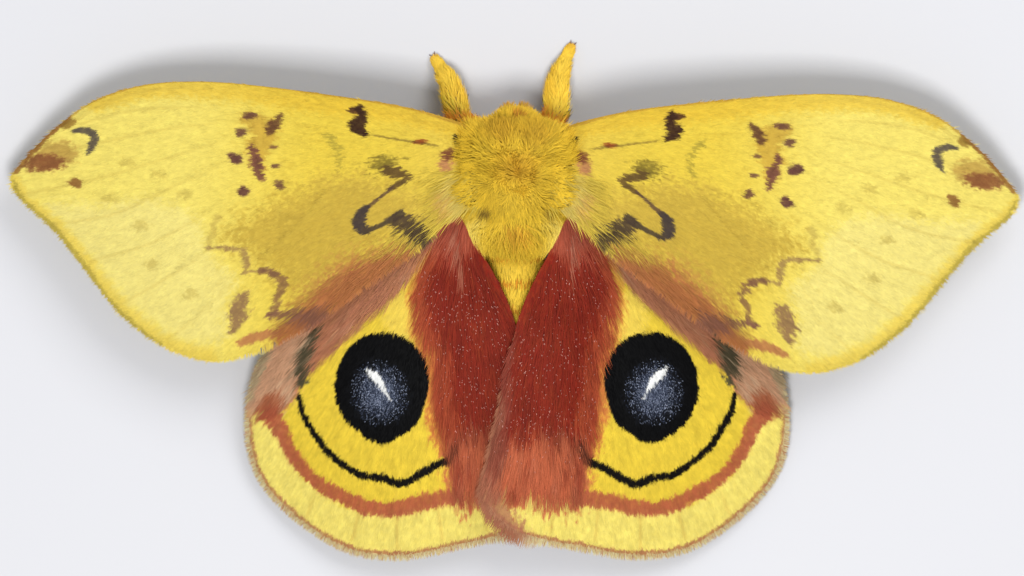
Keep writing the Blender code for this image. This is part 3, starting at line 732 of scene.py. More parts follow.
def spike_faces(sections: int) -> Array:
    """The triangles of one closed three-sided spike.

    Args:
        sections: Its rings of three corners. Its last corner is the tip.

    Returns:
        Three corner numbers for each triangle.
    """
    sides = ((0, 1), (1, 2), (2, 0))
    faces = [[0, 2, 1]]
    for k in range(0, 3 * sections - 3, 3):
        for a, b in sides:
            faces += [[k + a, k + b, k + 3 + a], [k + b, k + 3 + b, k + 3 + a]]
    tip = 3 * sections
    return np.array(faces + [[tip - 3 + a, tip - 3 + b, tip] for a, b in sides])


def tuft_light(normals: Array, across: Array, up: Array, pile: Pile, faces: Array) -> Tuple[Array, Array]:
    """How the corners of each tuft's faces are lit: partly as a spike, and partly as the coat's surface.

    Args:
        normals: The skin's direction at each root.
        across: The way across each section of each tuft.
        up: The way up from it.
        pile: The tufts' form.
        faces: One tuft's triangles.

    Returns:
        A direction for each face's corner, and which of one tuft's faces look back at the skin.
    """
    count = len(normals)
    own = np.concatenate([np.stack([across, -across, up], 2).reshape(count, -1, 3), normals[:, None]], 1)
    soaked = pile.level * smooth(normals[:, 2:], *SOAKED)
    body = unit(normals * (1.0 - soaked) + UPRIGHT * soaked)
    lit = unit(own * (1.0 - pile.even) + body[:, None] * pile.even)[:, faces]
    inner = (faces % 3 < 2).all(1) & pile.overhangs
    if pile.overhangs:
        own[:, -1] *= -1.0
        lit[:, inner] = unit(own * (1.0 - pile.even) - body[:, None] * pile.even)[:, faces[inner]]
    return lit, inner


def grow(roots: Roots, pile: Pile, rng: np.random.Generator,
         clear: Optional[Callable[[Array], Array]] = None) -> Surface:
    """Grow one closed tapered tuft at each root.

    Args:
        roots: Where the tufts stand.
        pile: Their form.
        rng: The seeded random numbers.
        clear: Moves the points of the tufts' middle lines out of what they would cross.

    Returns:
        All the tufts as one surface.
    """
    count, sections = len(roots.points), pile.sections
    path, width = tuft_lines(roots, pile, rng, clear)
    askew = roots.normals + rng.normal(0.0, ASKEW_SPREAD, (count, 3))
    across, up = square_to(unit(np.diff(path, axis=1)), askew[:, None])
    taper = (1.0 - NARROWED * np.arange(sections) / sections)[None, :, None] * width[:, None, None]
    rings = [path[:, :-1] + across * taper / 2, path[:, :-1] - across * taper / 2,
             path[:, :-1] + up * taper * THICKNESS]
    points = np.concatenate([np.stack(rings, 2).reshape(count, -1, 3), path[:, -1:]], 1)
    faces = spike_faces(sections)
    triangles = (faces[None] + (np.arange(count) * points.shape[1])[:, None, None]).reshape(-1, 3)
    shares = np.append(np.repeat(np.arange(sections) / sections, 3), 1.0)
    uneven = 1.0 + pile.uneven * rng.uniform(-1.0, 1.0, count)
    bright = (pile.root_shade + (TIP_SHADE - pile.root_shade) * shares)[None] * uneven[:, None]
    colours = linear(np.clip(roots.colours[:, None] * bright[..., None], 0.0, 1.0)).reshape(-1, 3)
    # painted light: the pile's gain paints each tuft brighter, to make up for the shade in the coat
    colours = colours * pile.gain * LIGHT_SHARE
    colours = colours * np.minimum(1.0, BRIGHTEST / np.maximum(colours.max(1, keepdims=True), 1e-6))
    lit, inner = tuft_light(roots.normals, across, up, pile, faces)
    sideways = np.append(np.tile([0.5, -0.5, 0.0], sections), 0.0)
    patch = np.stack([sideways, shares - 0.5], 1) * TUFT_PATCH
    places = (np.clip(roots.places, 0.01, 0.99)[:, None] + patch[None]).reshape(-1, 2)
    return Surface(points.reshape(-1, 3), [triangles], colours, lit.reshape(-1, 3), {TUFT_MAP: places},
                   np.tile(inner, count))


# Materials

def add_node(tree: bpy.types.NodeTree, kind: str, settings: Optional[dict] = None,
             links: Optional[dict] = None) -> bpy.types.Node:
    """Add a node with its settings and incoming links.

    Args:
        tree: The material's node tree.
        kind: The node's type.
        settings: A value for each property, or for each input socket, by name or number.
        links: The output socket that feeds each input socket.

    Returns:
        The new node.
    """
    node = tree.nodes.new(kind)
    for title, value in (settings or {}).items():
        if isinstance(title, str) and title in node.bl_rna.properties:
            setattr(node, title, value)
        else:
            node.inputs[title].default_value = value
    for title, socket in (links or {}).items():
        tree.links.new(socket, node.inputs[title])
    return node


def new_material(name: str, shader_settings: dict) -> Tuple[bpy.types.Material, bpy.types.Node]:
    """A material whose one shader has these settings on its own sockets.

    Args:
        name: The material's name.
        shader_settings: A value for each of the shader's sockets.

    Returns:
        The material and its shader node.
    """
    material = bpy.data.materials.new(name)
    material.use_nodes = True
    shader = material.node_tree.nodes["Principled BSDF"]
    for title, value in shader_settings.items():
        shader.inputs[title].default_value = value
    return material, shader


@dataclass(frozen=True)
class WingScales:
    """Overlapping chitin scales on a membrane: matt and dusty, in fine rows that show as short streaks.

    Attributes:
        name: The material's name.
        scale_width_mm: How wide a streak is, which is about a real scale's width.
        scale_length_mm: How long it is: real scales are shorter, and too fine to show one by one.
        tile_mm: How far apart the scales' raised ends are.
        depth_mm: How high they stand.
        contrast: The darkest and the lightest streak, as shares of the colour.
    """

    name: str
    scale_width_mm: float = 0.07
    scale_length_mm: float = 0.40
    tile_mm: float = 0.12
    depth_mm: float = 0.010
    contrast: Point = (0.95, 1.04)

    def build(self) -> bpy.types.Material:
        """Make the material.

        Returns:
            The material, which reads the coat's colour and the map of the hairs' lie.
        """
        material, shader = new_material(self.name, {"Roughness": 0.72, "IOR": 1.5,
                                                    "Specular IOR Level": 0.06})
        tree = material.node_tree
        colour = add_node(tree, "ShaderNodeVertexColor", {"layer_name": COLOUR_LAYER})
        lie = add_node(tree, "ShaderNodeUVMap", {"uv_map": HAIR_MAP})
        streak_size = (1.0 / self.scale_length_mm, 1.0 / self.scale_width_mm, 1.0)
        along = add_node(tree, "ShaderNodeMapping", {"Scale": streak_size}, {"Vector": lie.outputs["UV"]})
        streaks = add_node(tree, "ShaderNodeTexNoise", {"Scale": 1.0, "Detail": 3.0, "Roughness": 0.6},
                           {"Vector": along.outputs["Vector"]})
        rows = add_node(tree, "ShaderNodeTexVoronoi", {"Scale": 1.0 / self.tile_mm},
                        {"Vector": lie.outputs["UV"]})
        tone = add_node(tree, "ShaderNodeMapRange", {"From Min": 0.25, "From Max": 0.75,
                                                     "To Min": self.contrast[0], "To Max": self.contrast[1]},
                        {"Value": streaks.outputs["Fac"]})
        tinted = add_node(tree, "ShaderNodeVectorMath", {"operation": "SCALE"},
                          {0: colour.outputs["Color"], "Scale": tone.outputs["Result"]})
        tree.links.new(tinted.outputs["Vector"], shader.inputs["Base Color"])
        height = add_node(tree, "ShaderNodeMath", {"operation": "MULTIPLY_ADD", 1: 0.35},
                          {0: rows.outputs["Distance"], 2: streaks.outputs["Fac"]})
        bump = add_node(tree, "ShaderNodeBump", {"Strength": 0.7, "Distance": self.depth_mm * MM},
                        {"Height": height.outputs["Value"]})
        tree.links.new(bump.outputs["Normal"], shader.inputs["Normal"])
        return material


@dataclass(frozen=True)
class HairScales:
    """Hair-like chitin scales in tufts: soft, matt and a little silky along their sides.

    Attributes:
        name: The material's name.
        grain_mm: How far the tone reaches before it changes, as from hair to hair inside a tuft.
        roughness: How dull the hairs are.
        gloss: The strength of the silky light on them.
    """

    name: str
    grain_mm: float = 0.12
    roughness: float = 0.6
    gloss: float = 0.08

    def build(self) -> bpy.types.Material:
        """Make the material.

        Returns:
            The material, which reads the tufts' own colour.
        """
        material, shader = new_material(self.name, {"Roughness": self.roughness, "IOR": 1.5,
                                                    "Specular IOR Level": self.gloss})
        tree = material.node_tree
        colour = add_node(tree, "ShaderNodeVertexColor", {"layer_name": COLOUR_LAYER})
        where = add_node(tree, "ShaderNodeTexCoord")
        grain = add_node(tree, "ShaderNodeTexNoise", {"Scale": 1.0 / (self.grain_mm * MM), "Detail": 2.0},
                         {"Vector": where.outputs["Object"]})
        tone = add_node(tree, "ShaderNodeMapRange", {"From Min": 0.3, "From Max": 0.7, "To Min": 0.95,
                                                     "To Max": 1.05}, {"Value": grain.outputs["Fac"]})
        tinted = add_node(tree, "ShaderNodeVectorMath", {"operation": "SCALE"},
                          {0: colour.outputs["Color"], "Scale": tone.outputs["Result"]})
        tree.links.new(tinted.outputs["Vector"], shader.inputs["Base Color"])
        return material


@dataclass(frozen=True)
class Cuticle:
    """Hard bare chitin: waxy and finely pitted, which breaks up its soft gloss.

    Attributes:
        name: The material's name.
        light: The colour between the pits.
        dark: The colour in them.
        pit_mm: How far apart they are.
        depth_mm: How deep they are.
    """

    name: str
    light: str = "#8A5230"
    dark: str = "#4A2416"
    pit_mm: float = 0.07
    depth_mm: float = 0.01

    def build(self) -> bpy.types.Material:
        """Make the material.

        Returns:
            The material.
        """
        material, shader = new_material(self.name, {"Roughness": 0.42, "IOR": 1.56, "Coat Weight": 0.15,
                                                    "Coat Roughness": 0.3})
        tree = material.node_tree
        where = add_node(tree, "ShaderNodeTexCoord")
        pits = add_node(tree, "ShaderNodeTexNoise", {"Scale": 1.0 / (self.pit_mm * MM), "Detail": 4.0},
                        {"Vector": where.outputs["Object"]})
        ramp = add_node(tree, "ShaderNodeValToRGB", links={"Fac": pits.outputs["Fac"]})
        ramp.color_ramp.elements[0].color = (*linear(self.dark), 1.0)
        ramp.color_ramp.elements[1].color = (*linear(self.light), 1.0)
        tree.links.new(ramp.outputs["Color"], shader.inputs["Base Color"])
        bump = add_node(tree, "ShaderNodeBump", {"Strength": 0.5, "Distance": self.depth_mm * MM},
                        {"Height": pits.outputs["Fac"]})
        tree.links.new(bump.outputs["Normal"], shader.inputs["Normal"])
        return material


@dataclass(frozen=True)
class EyeFacets:
    """A compound eye's cornea: near black and glossy, in a mesh of tiny lenses.

    Attributes:
        name: The material's name.
        lens_mm: How wide a lens is drawn. Real ones are about half as wide, too fine to show.
        depth_mm: How far a lens bulges.
        deep: The colour between the lenses.
        lit: The colour in the middle of one.
    """

    name: str
    lens_mm: float = 0.06
    depth_mm: float = 0.012
    deep: str = "#120A07"
    lit: str = "#3A2418"

    def build(self) -> bpy.types.Material:
        """Make the material.

        Returns:
            The material.
        """
        material, shader = new_material(self.name, {"Roughness": 0.18, "IOR": 1.5, "Coat Weight": 0.4,
                                                    "Coat Roughness": 0.08})
        tree = material.node_tree
        where = add_node(tree, "ShaderNodeTexCoord")
        size = {"Scale": 1.0 / (self.lens_mm * MM), "Randomness": 0.25}
        lenses = add_node(tree, "ShaderNodeTexVoronoi", size, {"Vector": where.outputs["Object"]})
        ramp = add_node(tree, "ShaderNodeValToRGB", links={"Fac": lenses.outputs["Distance"]})
        ramp.color_ramp.elements[0].color = (*linear(self.lit), 1.0)
        ramp.color_ramp.elements[1].color = (*linear(self.deep), 1.0)
        tree.links.new(ramp.outputs["Color"], shader.inputs["Base Color"])
        bulge = {"Strength": 0.6, "Distance": self.depth_mm * MM, "invert": True}
        bump = add_node(tree, "ShaderNodeBump", bulge, {"Height": lenses.outputs["Distance"]})
        tree.links.new(bump.outputs["Normal"], shader.inputs["Normal"])
        return material


@dataclass(frozen=True)
class PaperFloor:
    """Matt studio paper, near white.

    Attributes:
        name: The material's name.
        colour: The paper's colour.
    """

    name: str = "studio_paper"
    colour: str = "#CACACD"

    def build(self) -> bpy.types.Material:
        """Make the material."""
        settings = {"Base Color": (*linear(self.colour), 1.0), "Roughness": 0.95, "Specular IOR Level": 0.1}
        return new_material(self.name, settings)[0]


def show(obj: bpy.types.Object, replaced: Sequence[str] = ()) -> None:
    """Fix a piece to the moth's body.

    Args:
        obj: The piece.
        replaced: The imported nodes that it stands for.
    """
    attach(obj, BODY)
    if replaced:
        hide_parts(*replaced)
    LOG.info("%s: %d triangles", obj.name, sum(len(p.vertices) - 2 for p in obj.data.polygons))


# Wings

@dataclass
class Sheet:
    """One face of a wing on a grid, from which the hairs on it take their places and colours.

    Attributes:
        size: Its rows and columns.
        flat: The places in the wing's own plane.
        points: The places in space.
        right: The way of the plane's x in space.
        ahead: The way of the plane's y in space.
        normals: The way out of the face.
        colours: The sRGB colours.
    """

    size: Tuple[int, int]
    flat: Array
    points: Array
    right: Array
    ahead: Array
    normals: Array
    colours: Array

    def sample(self, table: Array, spots: Array) -> Array:
        """Read one of the tables between its grid's points.

        Args:
            table: Any of the arrays above.
            spots: The shares of the rows and the columns.

        Returns:
            A value for each spot.
        """
        row, column = (np.clip(spots[:, k], 0.0, 1.0) * (self.size[k] - 1) for k in (0, 1))
        i = np.minimum(row.astype(int), self.size[0] - 2)
        j = np.minimum(column.astype(int), self.size[1] - 2)
        u, v = (row - i)[:, None], (column - j)[:, None]
        grid = table.reshape(*self.size, -1)
        return ((grid[i, j] * (1 - v) + grid[i, j + 1] * v) * (1 - u)
                + (grid[i + 1, j] * (1 - v) + grid[i + 1, j + 1] * v) * u)


@dataclass
class Wing:
    """One wing: a thin membrane on raised veins, under its scales.

    Attributes:
        side: The moth's own left or right.
        frame: Where the moth stands.
        scales: The finish of the membrane's scales.
        hairs: The finish of the tufts.
        seed: Its own random numbers.
        slot: The record's material slot, and the first word of its node.
        outline: What its margin goes through, in its own plane.
        veins: What each vein goes through.
        root: Where the hairs fan out from.
        comb_radius: How far from there their spacing is right.
        axis: The coordinate along which rows follow one another: 0 is x and 1 is y.
        way: 1 where it rises from row to row, and -1 where it falls.
        reach: It at the first and the last row.
        closer: The power that draws the rows together at the far end.
        grid: Rows and columns of the upper face.
        coarser: The lower face has one point for so many each way.
        half_thickness: Half of the membrane's thickness.
        edge_thickness: The same at its margin.
        vein_width: Half the width of a vein at its start and its end.
        vein_height: Its height there.
        pleat: How deep the membrane sinks between veins.
        short: The form of the short scales.
        long: The form of the long hairs.
        fringe: The form of the margin's fringe.
        short_count: How many short scales are tried on the upper face.
        long_count: How many long hairs there are at most.
        lower_count: How many scales are tried on the lower face.
        fringe_count: How many hairs the fringe would have all round.
    """

    side: Side
    frame: BodyFrame
    scales: bpy.types.Material
    hairs: bpy.types.Material
    seed: int
    slot: str = ""
    outline: Sequence[Point] = ()
    veins: Sequence[Sequence[Point]] = ()
    root: Point = (0.0, 3.0)
    comb_radius: float = 15.0
    axis: int = 0
    way: int = 1
    reach: Point = (0.0, 1.0)
    closer: float = 1.0
    grid: Tuple[int, int] = (300, 170)
    coarser: int = 4
    half_thickness: float = 0.10
    edge_thickness: float = 0.035
    vein_width: Point = (0.42, 0.20)
    vein_height: Point = (0.07, 0.035)
    pleat: float = 0.03
    short: Pile = Pile(length=0.4, width=0.065, rise=8.0, settle=5.0, spread=9.0, clump=0.7,
        root_shade=0.97, uneven=0.05, even=0.85, overhangs=True)
    long: Pile = Pile(length=2.0, width=0.07, rise=11.0, settle=3.0, sections=2, spread=6.0, clump=1.4,
        root_shade=0.85, uneven=0.06, overhangs=True)
    fringe: Pile = Pile(length=0.5, width=0.08, rise=3.0, settle=-2.0, spread=5.0, clump=0.5,
        root_shade=0.95, uneven=0.05, overhangs=True)
    short_count: int = 30000
    long_count: int = 9000
    lower_count: int = 12000
    fringe_count: int = 3000

    def __post_init__(self) -> None:
        """Work out the outline and the veins once."""
        self.edge = spline(self.outline, 0.12, closed=True)
        self.vein_lines = [spline(points, 0.6) for points in self.veins]
        self.rng = np.random.default_rng(self.seed)
        self.sheets = {face: self.sheet(face) for face in Face}

    @property
    def node(self) -> str:
        """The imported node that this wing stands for."""
        return f"{self.slot}_{self.side.label}"

    def margins(self) -> Sequence[Array]:
        """The rear or inner margin and the front or outer one, each sorted along the wing.

        Returns:
            The two margins' points.
        """
        far = self.edge[:, self.axis] * self.way
        first, last = int(np.argmin(far)), int(np.argmax(far))
        turned = np.roll(self.edge, -first, axis=0)
        last = (last - first) % len(self.edge)
        halves = np.vstack([turned[last:], turned[:1]]), turned[:last + 1]
        return [half[np.argsort(half[:, self.axis] * self.way)] for half in halves]

    def limits(self, along: Array) -> Sequence[Array]:
        """How far across the wing its two margins are, at places along it."""
        return [np.interp(along * self.way, margin[:, self.axis] * self.way, margin[:, 1 - self.axis])
                for margin in self.margins()]

    def rows(self, shares: Array, face_shares: Array) -> Array:
        """Places of a grid over the wing, in its own plane.

        Args:
            shares: Each row's share of the way along.
            face_shares: Each column's share of the way across.

        Returns:
            The places, row after row.
        """
        along = self.reach[0] + (self.reach[1] - self.reach[0]) * (1.0 - (1.0 - shares) ** self.closer)
        low, high = self.limits(along)
        across = low[:, None] + (high - low)[:, None] * face_shares[None]
        placed = [np.broadcast_to(along[:, None], across.shape), across]
        return np.stack(placed if self.axis == 0 else placed[::-1], 2).reshape(-1, 2)

    def spots(self, points: Array) -> Array:
        """Find places in the wing's own plane on its grid.

        Args:
            points: The places.

        Returns:
            The shares of the rows and of the columns.
        """
        along = points[:, self.axis]
        low, high = self.limits(along)
        far = np.clip((along - self.reach[0]) / (self.reach[1] - self.reach[0]), 0.0, 1.0)
        across = (points[:, 1 - self.axis] - low) / np.maximum(high - low, 0.05)
        return np.stack([1.0 - (1.0 - far) ** (1.0 / self.closer), across], 1)

    def height(self, points: Array) -> Array:
        """The middle surface's height at places on the body."""
        raise NotImplementedError

    def on_body(self, points: Array) -> Array:
        """Places in the wing's own plane as places on the body, x still outwards."""
        return points

    def hair_lie(self, points: Array) -> Array:
        """The way the hairs lie, in the wing's own plane."""
        raise NotImplementedError

    def pattern(self, points: Array, face: Face) -> Array:
        """The sRGB colour at places in the wing's own plane."""
        raise NotImplementedError

    def hair_length(self, points: Array) -> Array:
        """How long the hairs are, as a share of the longest."""
        raise NotImplementedError

    def along_hair(self, points: Array) -> Array:
        """Millimetres along and across the hairs, about the wing's root.

        Args:
            points: Places in the wing's own plane.

        Returns:
            The two for each.
        """
        offset = points - np.array(self.root)
        far = np.linalg.norm(offset, axis=1)
        return np.stack([far, np.arctan2(offset[:, 1], offset[:, 0]) * self.comb_radius], 1)

    def comb(self, points: Array) -> Array:
        """How far each hair carries the edge of a mark.

        Args:
            points: Places in the wing's own plane.

        Returns:
            A number from -1 to 1 for each.
        """
        placed = self.along_hair(points)
        coarse = noise(placed / (0.6, 0.11), self.seed)
        fine = noise(placed / (0.3, 0.06), self.seed + 1)
        return np.clip(coarse * 0.65 + fine * 0.6, -1.0, 1.0)

    def relief(self, points: Array) -> Array:
        """How high the veins and the soft pleats between them stand on the membrane.

        Args:
            points: Places in the wing's own plane.

        Returns:
            A height for each.
        """
        nearest = np.full(len(points), np.inf)
        crest = np.zeros(len(points))
        for line in self.vein_lines:
            gap, share = distance_to_line(points, line)
            width = self.vein_width[0] + (self.vein_width[1] - self.vein_width[0]) * share
            height = self.vein_height[0] + (self.vein_height[1] - self.vein_height[0]) * share
            crest = np.maximum(crest, height * (1.0 - smooth(gap / width, 0.2, 1.0)))
            nearest = np.minimum(nearest, gap)
        return crest - self.pleat * smooth(nearest, 0.3, 1.6)

    def lifted(self, points: Array, face: Face, proud: float = 0.0) -> Array:
        """Places on one face of the membrane, in the moth's millimetres.

        Args:
            points: Places in the wing's own plane.
            face: The face they are on.
            proud: How far they stand off it.

        Returns:
            The places in space, on the wing's own side.
        """
        placed = self.on_body(points)
        rim, _ = distance_to_line(points, np.vstack([self.edge[::4], self.edge[:1]]))
        half = self.edge_thickness + (self.half_thickness - self.edge_thickness) * smooth(rim, 0.0, 0.5)
        relief = self.relief(points) * smooth(rim, 0.0, 0.6)
        z = self.height(placed) + relief + (half + proud) * face.value
        return np.column_stack([placed[:, 0] * self.side.value, placed[:, 1], z])

    def sheet(self, face: Face) -> Sheet:
        """Work out one face on its grid.

        Args:
            face: Which one. The lower one's grid is coarser.

        Returns:
            The face.
        """
        rows, columns = self.grid
        if face is Face.LOWER:
            rows, columns = rows // self.coarser, columns // self.coarser
        flat = self.rows(np.linspace(0.0, 1.0, rows), np.linspace(0.0, 1.0, columns))
        here, right, ahead = (self.bare(flat + step) for step in ((0.0, 0.0), (0.1, 0.0), (0.0, 0.1)))
        right, ahead = unit(right - here), unit(ahead - here)
        normals = unit(np.cross(right, ahead)) * self.side.value * face.value
        return Sheet((rows, columns), flat, self.lifted(flat, face), right, ahead, normals,
                     self.pattern(flat, face))

    def bare(self, points: Array) -> Array:
        """Places on the middle surface, in the moth's millimetres."""
        placed = self.on_body(points)
        return np.column_stack([placed[:, 0] * self.side.value, placed[:, 1], self.height(placed)])

    def membrane(self) -> bpy.types.Object:
        """Make the closed membrane with its colours.

        Returns:
            The piece.
        """
        made = []
        for face, sheet in self.sheets.items():
            faces = grid_faces(*sheet.size)
            if self.side.value * face.value > 0:
                faces = faces[:, ::-1]
            made.append(Surface(sheet.points, [faces], linear(sheet.colours) * LIGHT_SHARE,
                                maps={HAIR_MAP: self.along_hair(sheet.flat)}))
        whole = merged(made)
        upper, lower = (sheet.size for sheet in self.sheets.values())
        rim = self.rim(*upper), self.rim(*lower) + upper[0] * upper[1]
        whole.faces = [*whole.faces, self.rim_faces(*rim)]
        return whole.build(f"{self.node}_membrane", self.frame, self.scales)

    @staticmethod
    def rim(rows: int, columns: int) -> Array:
        """Go round a grid.

        Args:
            rows: Its rows of points.
            columns: Points in a row.

        Returns:
            The numbers of its outer points, in order.
        """
        top = np.arange(columns)
        right = np.arange(1, rows) * columns + columns - 1
        bottom = (rows - 1) * columns + np.arange(columns - 2, -1, -1)
        left = np.arange(rows - 2, 0, -1) * columns
        return np.concatenate([top, right, bottom, left])

    def rim_faces(self, fine: Array, coarse: Array) -> Array:
        """Triangles that close the rim between the fine upper face and the coarse lower one.

        Args:
            fine: The upper face's outer points, in order.
            coarse: The lower face's outer points, in order.

        Returns:
            Three point numbers for each triangle.
        """
        faces = []
        i = j = 0
        while i < len(fine) or j < len(coarse):
            a, b = fine[i % len(fine)], coarse[j % len(coarse)]
            if j >= len(coarse) or (i < len(fine) and i / len(fine) <= j / len(coarse)):
                faces.append([a, b, fine[(i + 1) % len(fine)]])
                i += 1
            else:
                faces.append([a, b, coarse[(j + 1) % len(coarse)]])
                j += 1
        return np.array(faces)[:, ::-self.side.value]

    def scatter(self, count: int, margin: float = 0.05) -> Array:
        """Random places on the wing, evenly spread.

        Args:
            count: How many to try in the outline's box.
            margin: Unused rim at the box's edge.

        Returns:
            Those that lie on the wing.
        """
        low, high = self.edge.min(0) + margin, self.edge.max(0) - margin
        places = self.rng.uniform(low, high, (count, 2))
        return places[inside(places, self.edge)]

    def roots(self, flat: Array, face: Face, longer: Array, pile: Pile, lie: Optional[Array] = None) -> Roots:
        """Hair roots, coloured as the pattern is about their hairs' middles.

        Args:
            flat: Places in the wing's own plane.
            face: The face they grow on.
            longer: A factor on each hair's length.
            pile: The hairs' form.
            lie: The way they lie, where it isn't the wing's own.

        Returns:
            The roots.
        """
        sheet = self.sheets[face]
        lie = self.hair_lie(flat) if lie is None else lie
        spots = self.spots(flat)
        normals = unit(sheet.sample(sheet.normals, spots))
        right, up = sheet.sample(sheet.right, spots), sheet.sample(sheet.ahead, spots)
        ahead = unit(right * lie[:, :1] + up * lie[:, 1:])
        middle = self.spots(flat + lie * (longer * pile.length * 0.45)[:, None])
        low, high = self.edge.min(0), self.edge.max(0)
        share = (flat - low) / (high - low)
        half = 0.0 if face is Face.UPPER else 0.5
        places = np.stack([share[:, 0] * 0.49 + half, share[:, 1]], 1)
        return Roots(sheet.sample(sheet.points, spots), normals, ahead, sheet.sample(sheet.colours, middle),
                     places, longer)

    def short_tufts(self) -> Sequence[Surface]:
        """Grow short scales all over both faces, and the fringe.

        Returns:
            The tufts.
        """
        made = [self.fringe_tufts()]
        rounds = ((Face.UPPER, self.short_count, 1.0), (Face.LOWER, self.lower_count, 1.25))
        for face, count, factor in rounds:
            flat = self.scatter(count)
            roots = self.roots(flat, face, np.full(len(flat), factor), self.short)
            made.append(grow(roots, self.short, self.rng))
        return made

    def long_tufts(self) -> Sequence[Surface]:
        """Grow long hairs where the moth is shaggy, and the scales that only one kind of wing has.

        Returns:
            The tufts.
        """
        flat = self.scatter(self.long_count * 3)
        shag = self.hair_length(flat)
        chosen = (shag > 0.15) & (self.rng.uniform(size=len(flat)) < shag * 1.2)
        flat, shag = flat[chosen][:self.long_count], shag[chosen][:self.long_count]
        return [grow(self.roots(flat, Face.UPPER, shag, self.long), self.long, self.rng), *self.extra_tufts()]

    def fringe_tufts(self) -> Surface:
        """Grow the rows of scales that stand out from the wing's margin.

        Returns:
            The tufts.
        """
        loop = np.vstack([self.edge, self.edge[:1]])
        shares = line_shares(loop)
        at = np.sort(self.rng.uniform(size=self.fringe_count))
        flat, beyond = on_line(loop, shares, at), on_line(loop, shares, (at + 0.002) % 1.0)
        along = unit(beyond - flat)
        out = np.stack([-along[:, 1], along[:, 0]], 1)
        kept = self.has_fringe(flat)
        flat, out = flat[kept], out[kept]
        flat = flat - out * 0.08
        lie = unit(out + self.hair_lie(flat) * self.fringe_lean(flat)[:, None])
        roots = self.roots(flat, Face.UPPER, self.fringe_length(flat), self.fringe, lie)
        roots.colours = self.fringe_colour(flat)
        return grow(roots, self.fringe, self.rng)

    def extra_tufts(self) -> Sequence[Surface]:
        """Scales that only one kind of wing has."""
        return ()

    def has_fringe(self, flat: Array) -> Array:
        """True where the margin carries a fringe."""
        return np.ones(len(flat), bool)

    def fringe_length(self, flat: Array) -> Array:
        """The fringe's length as a factor."""
        return np.ones(len(flat))

    def fringe_lean(self, flat: Array) -> Array:
        """How far the fringe leans along the wing's own hairs."""
        return np.full(len(flat), 0.35)

    def fringe_colour(self, flat: Array) -> Array:
        """The fringe's sRGB colour."""
        sheet = self.sheets[Face.UPPER]
        return sheet.sample(sheet.colours, self.spots(flat))

    def make(self) -> None:
        """Build the membrane and its short and long coats, and fix them to the body."""
        show(self.membrane(), [self.node])
        for name, tufts in (("short_coat", self.short_tufts()), ("long_coat", self.long_tufts())):
            show(merged(tufts).build(f"{self.node}_{name}", self.frame, self.hairs))


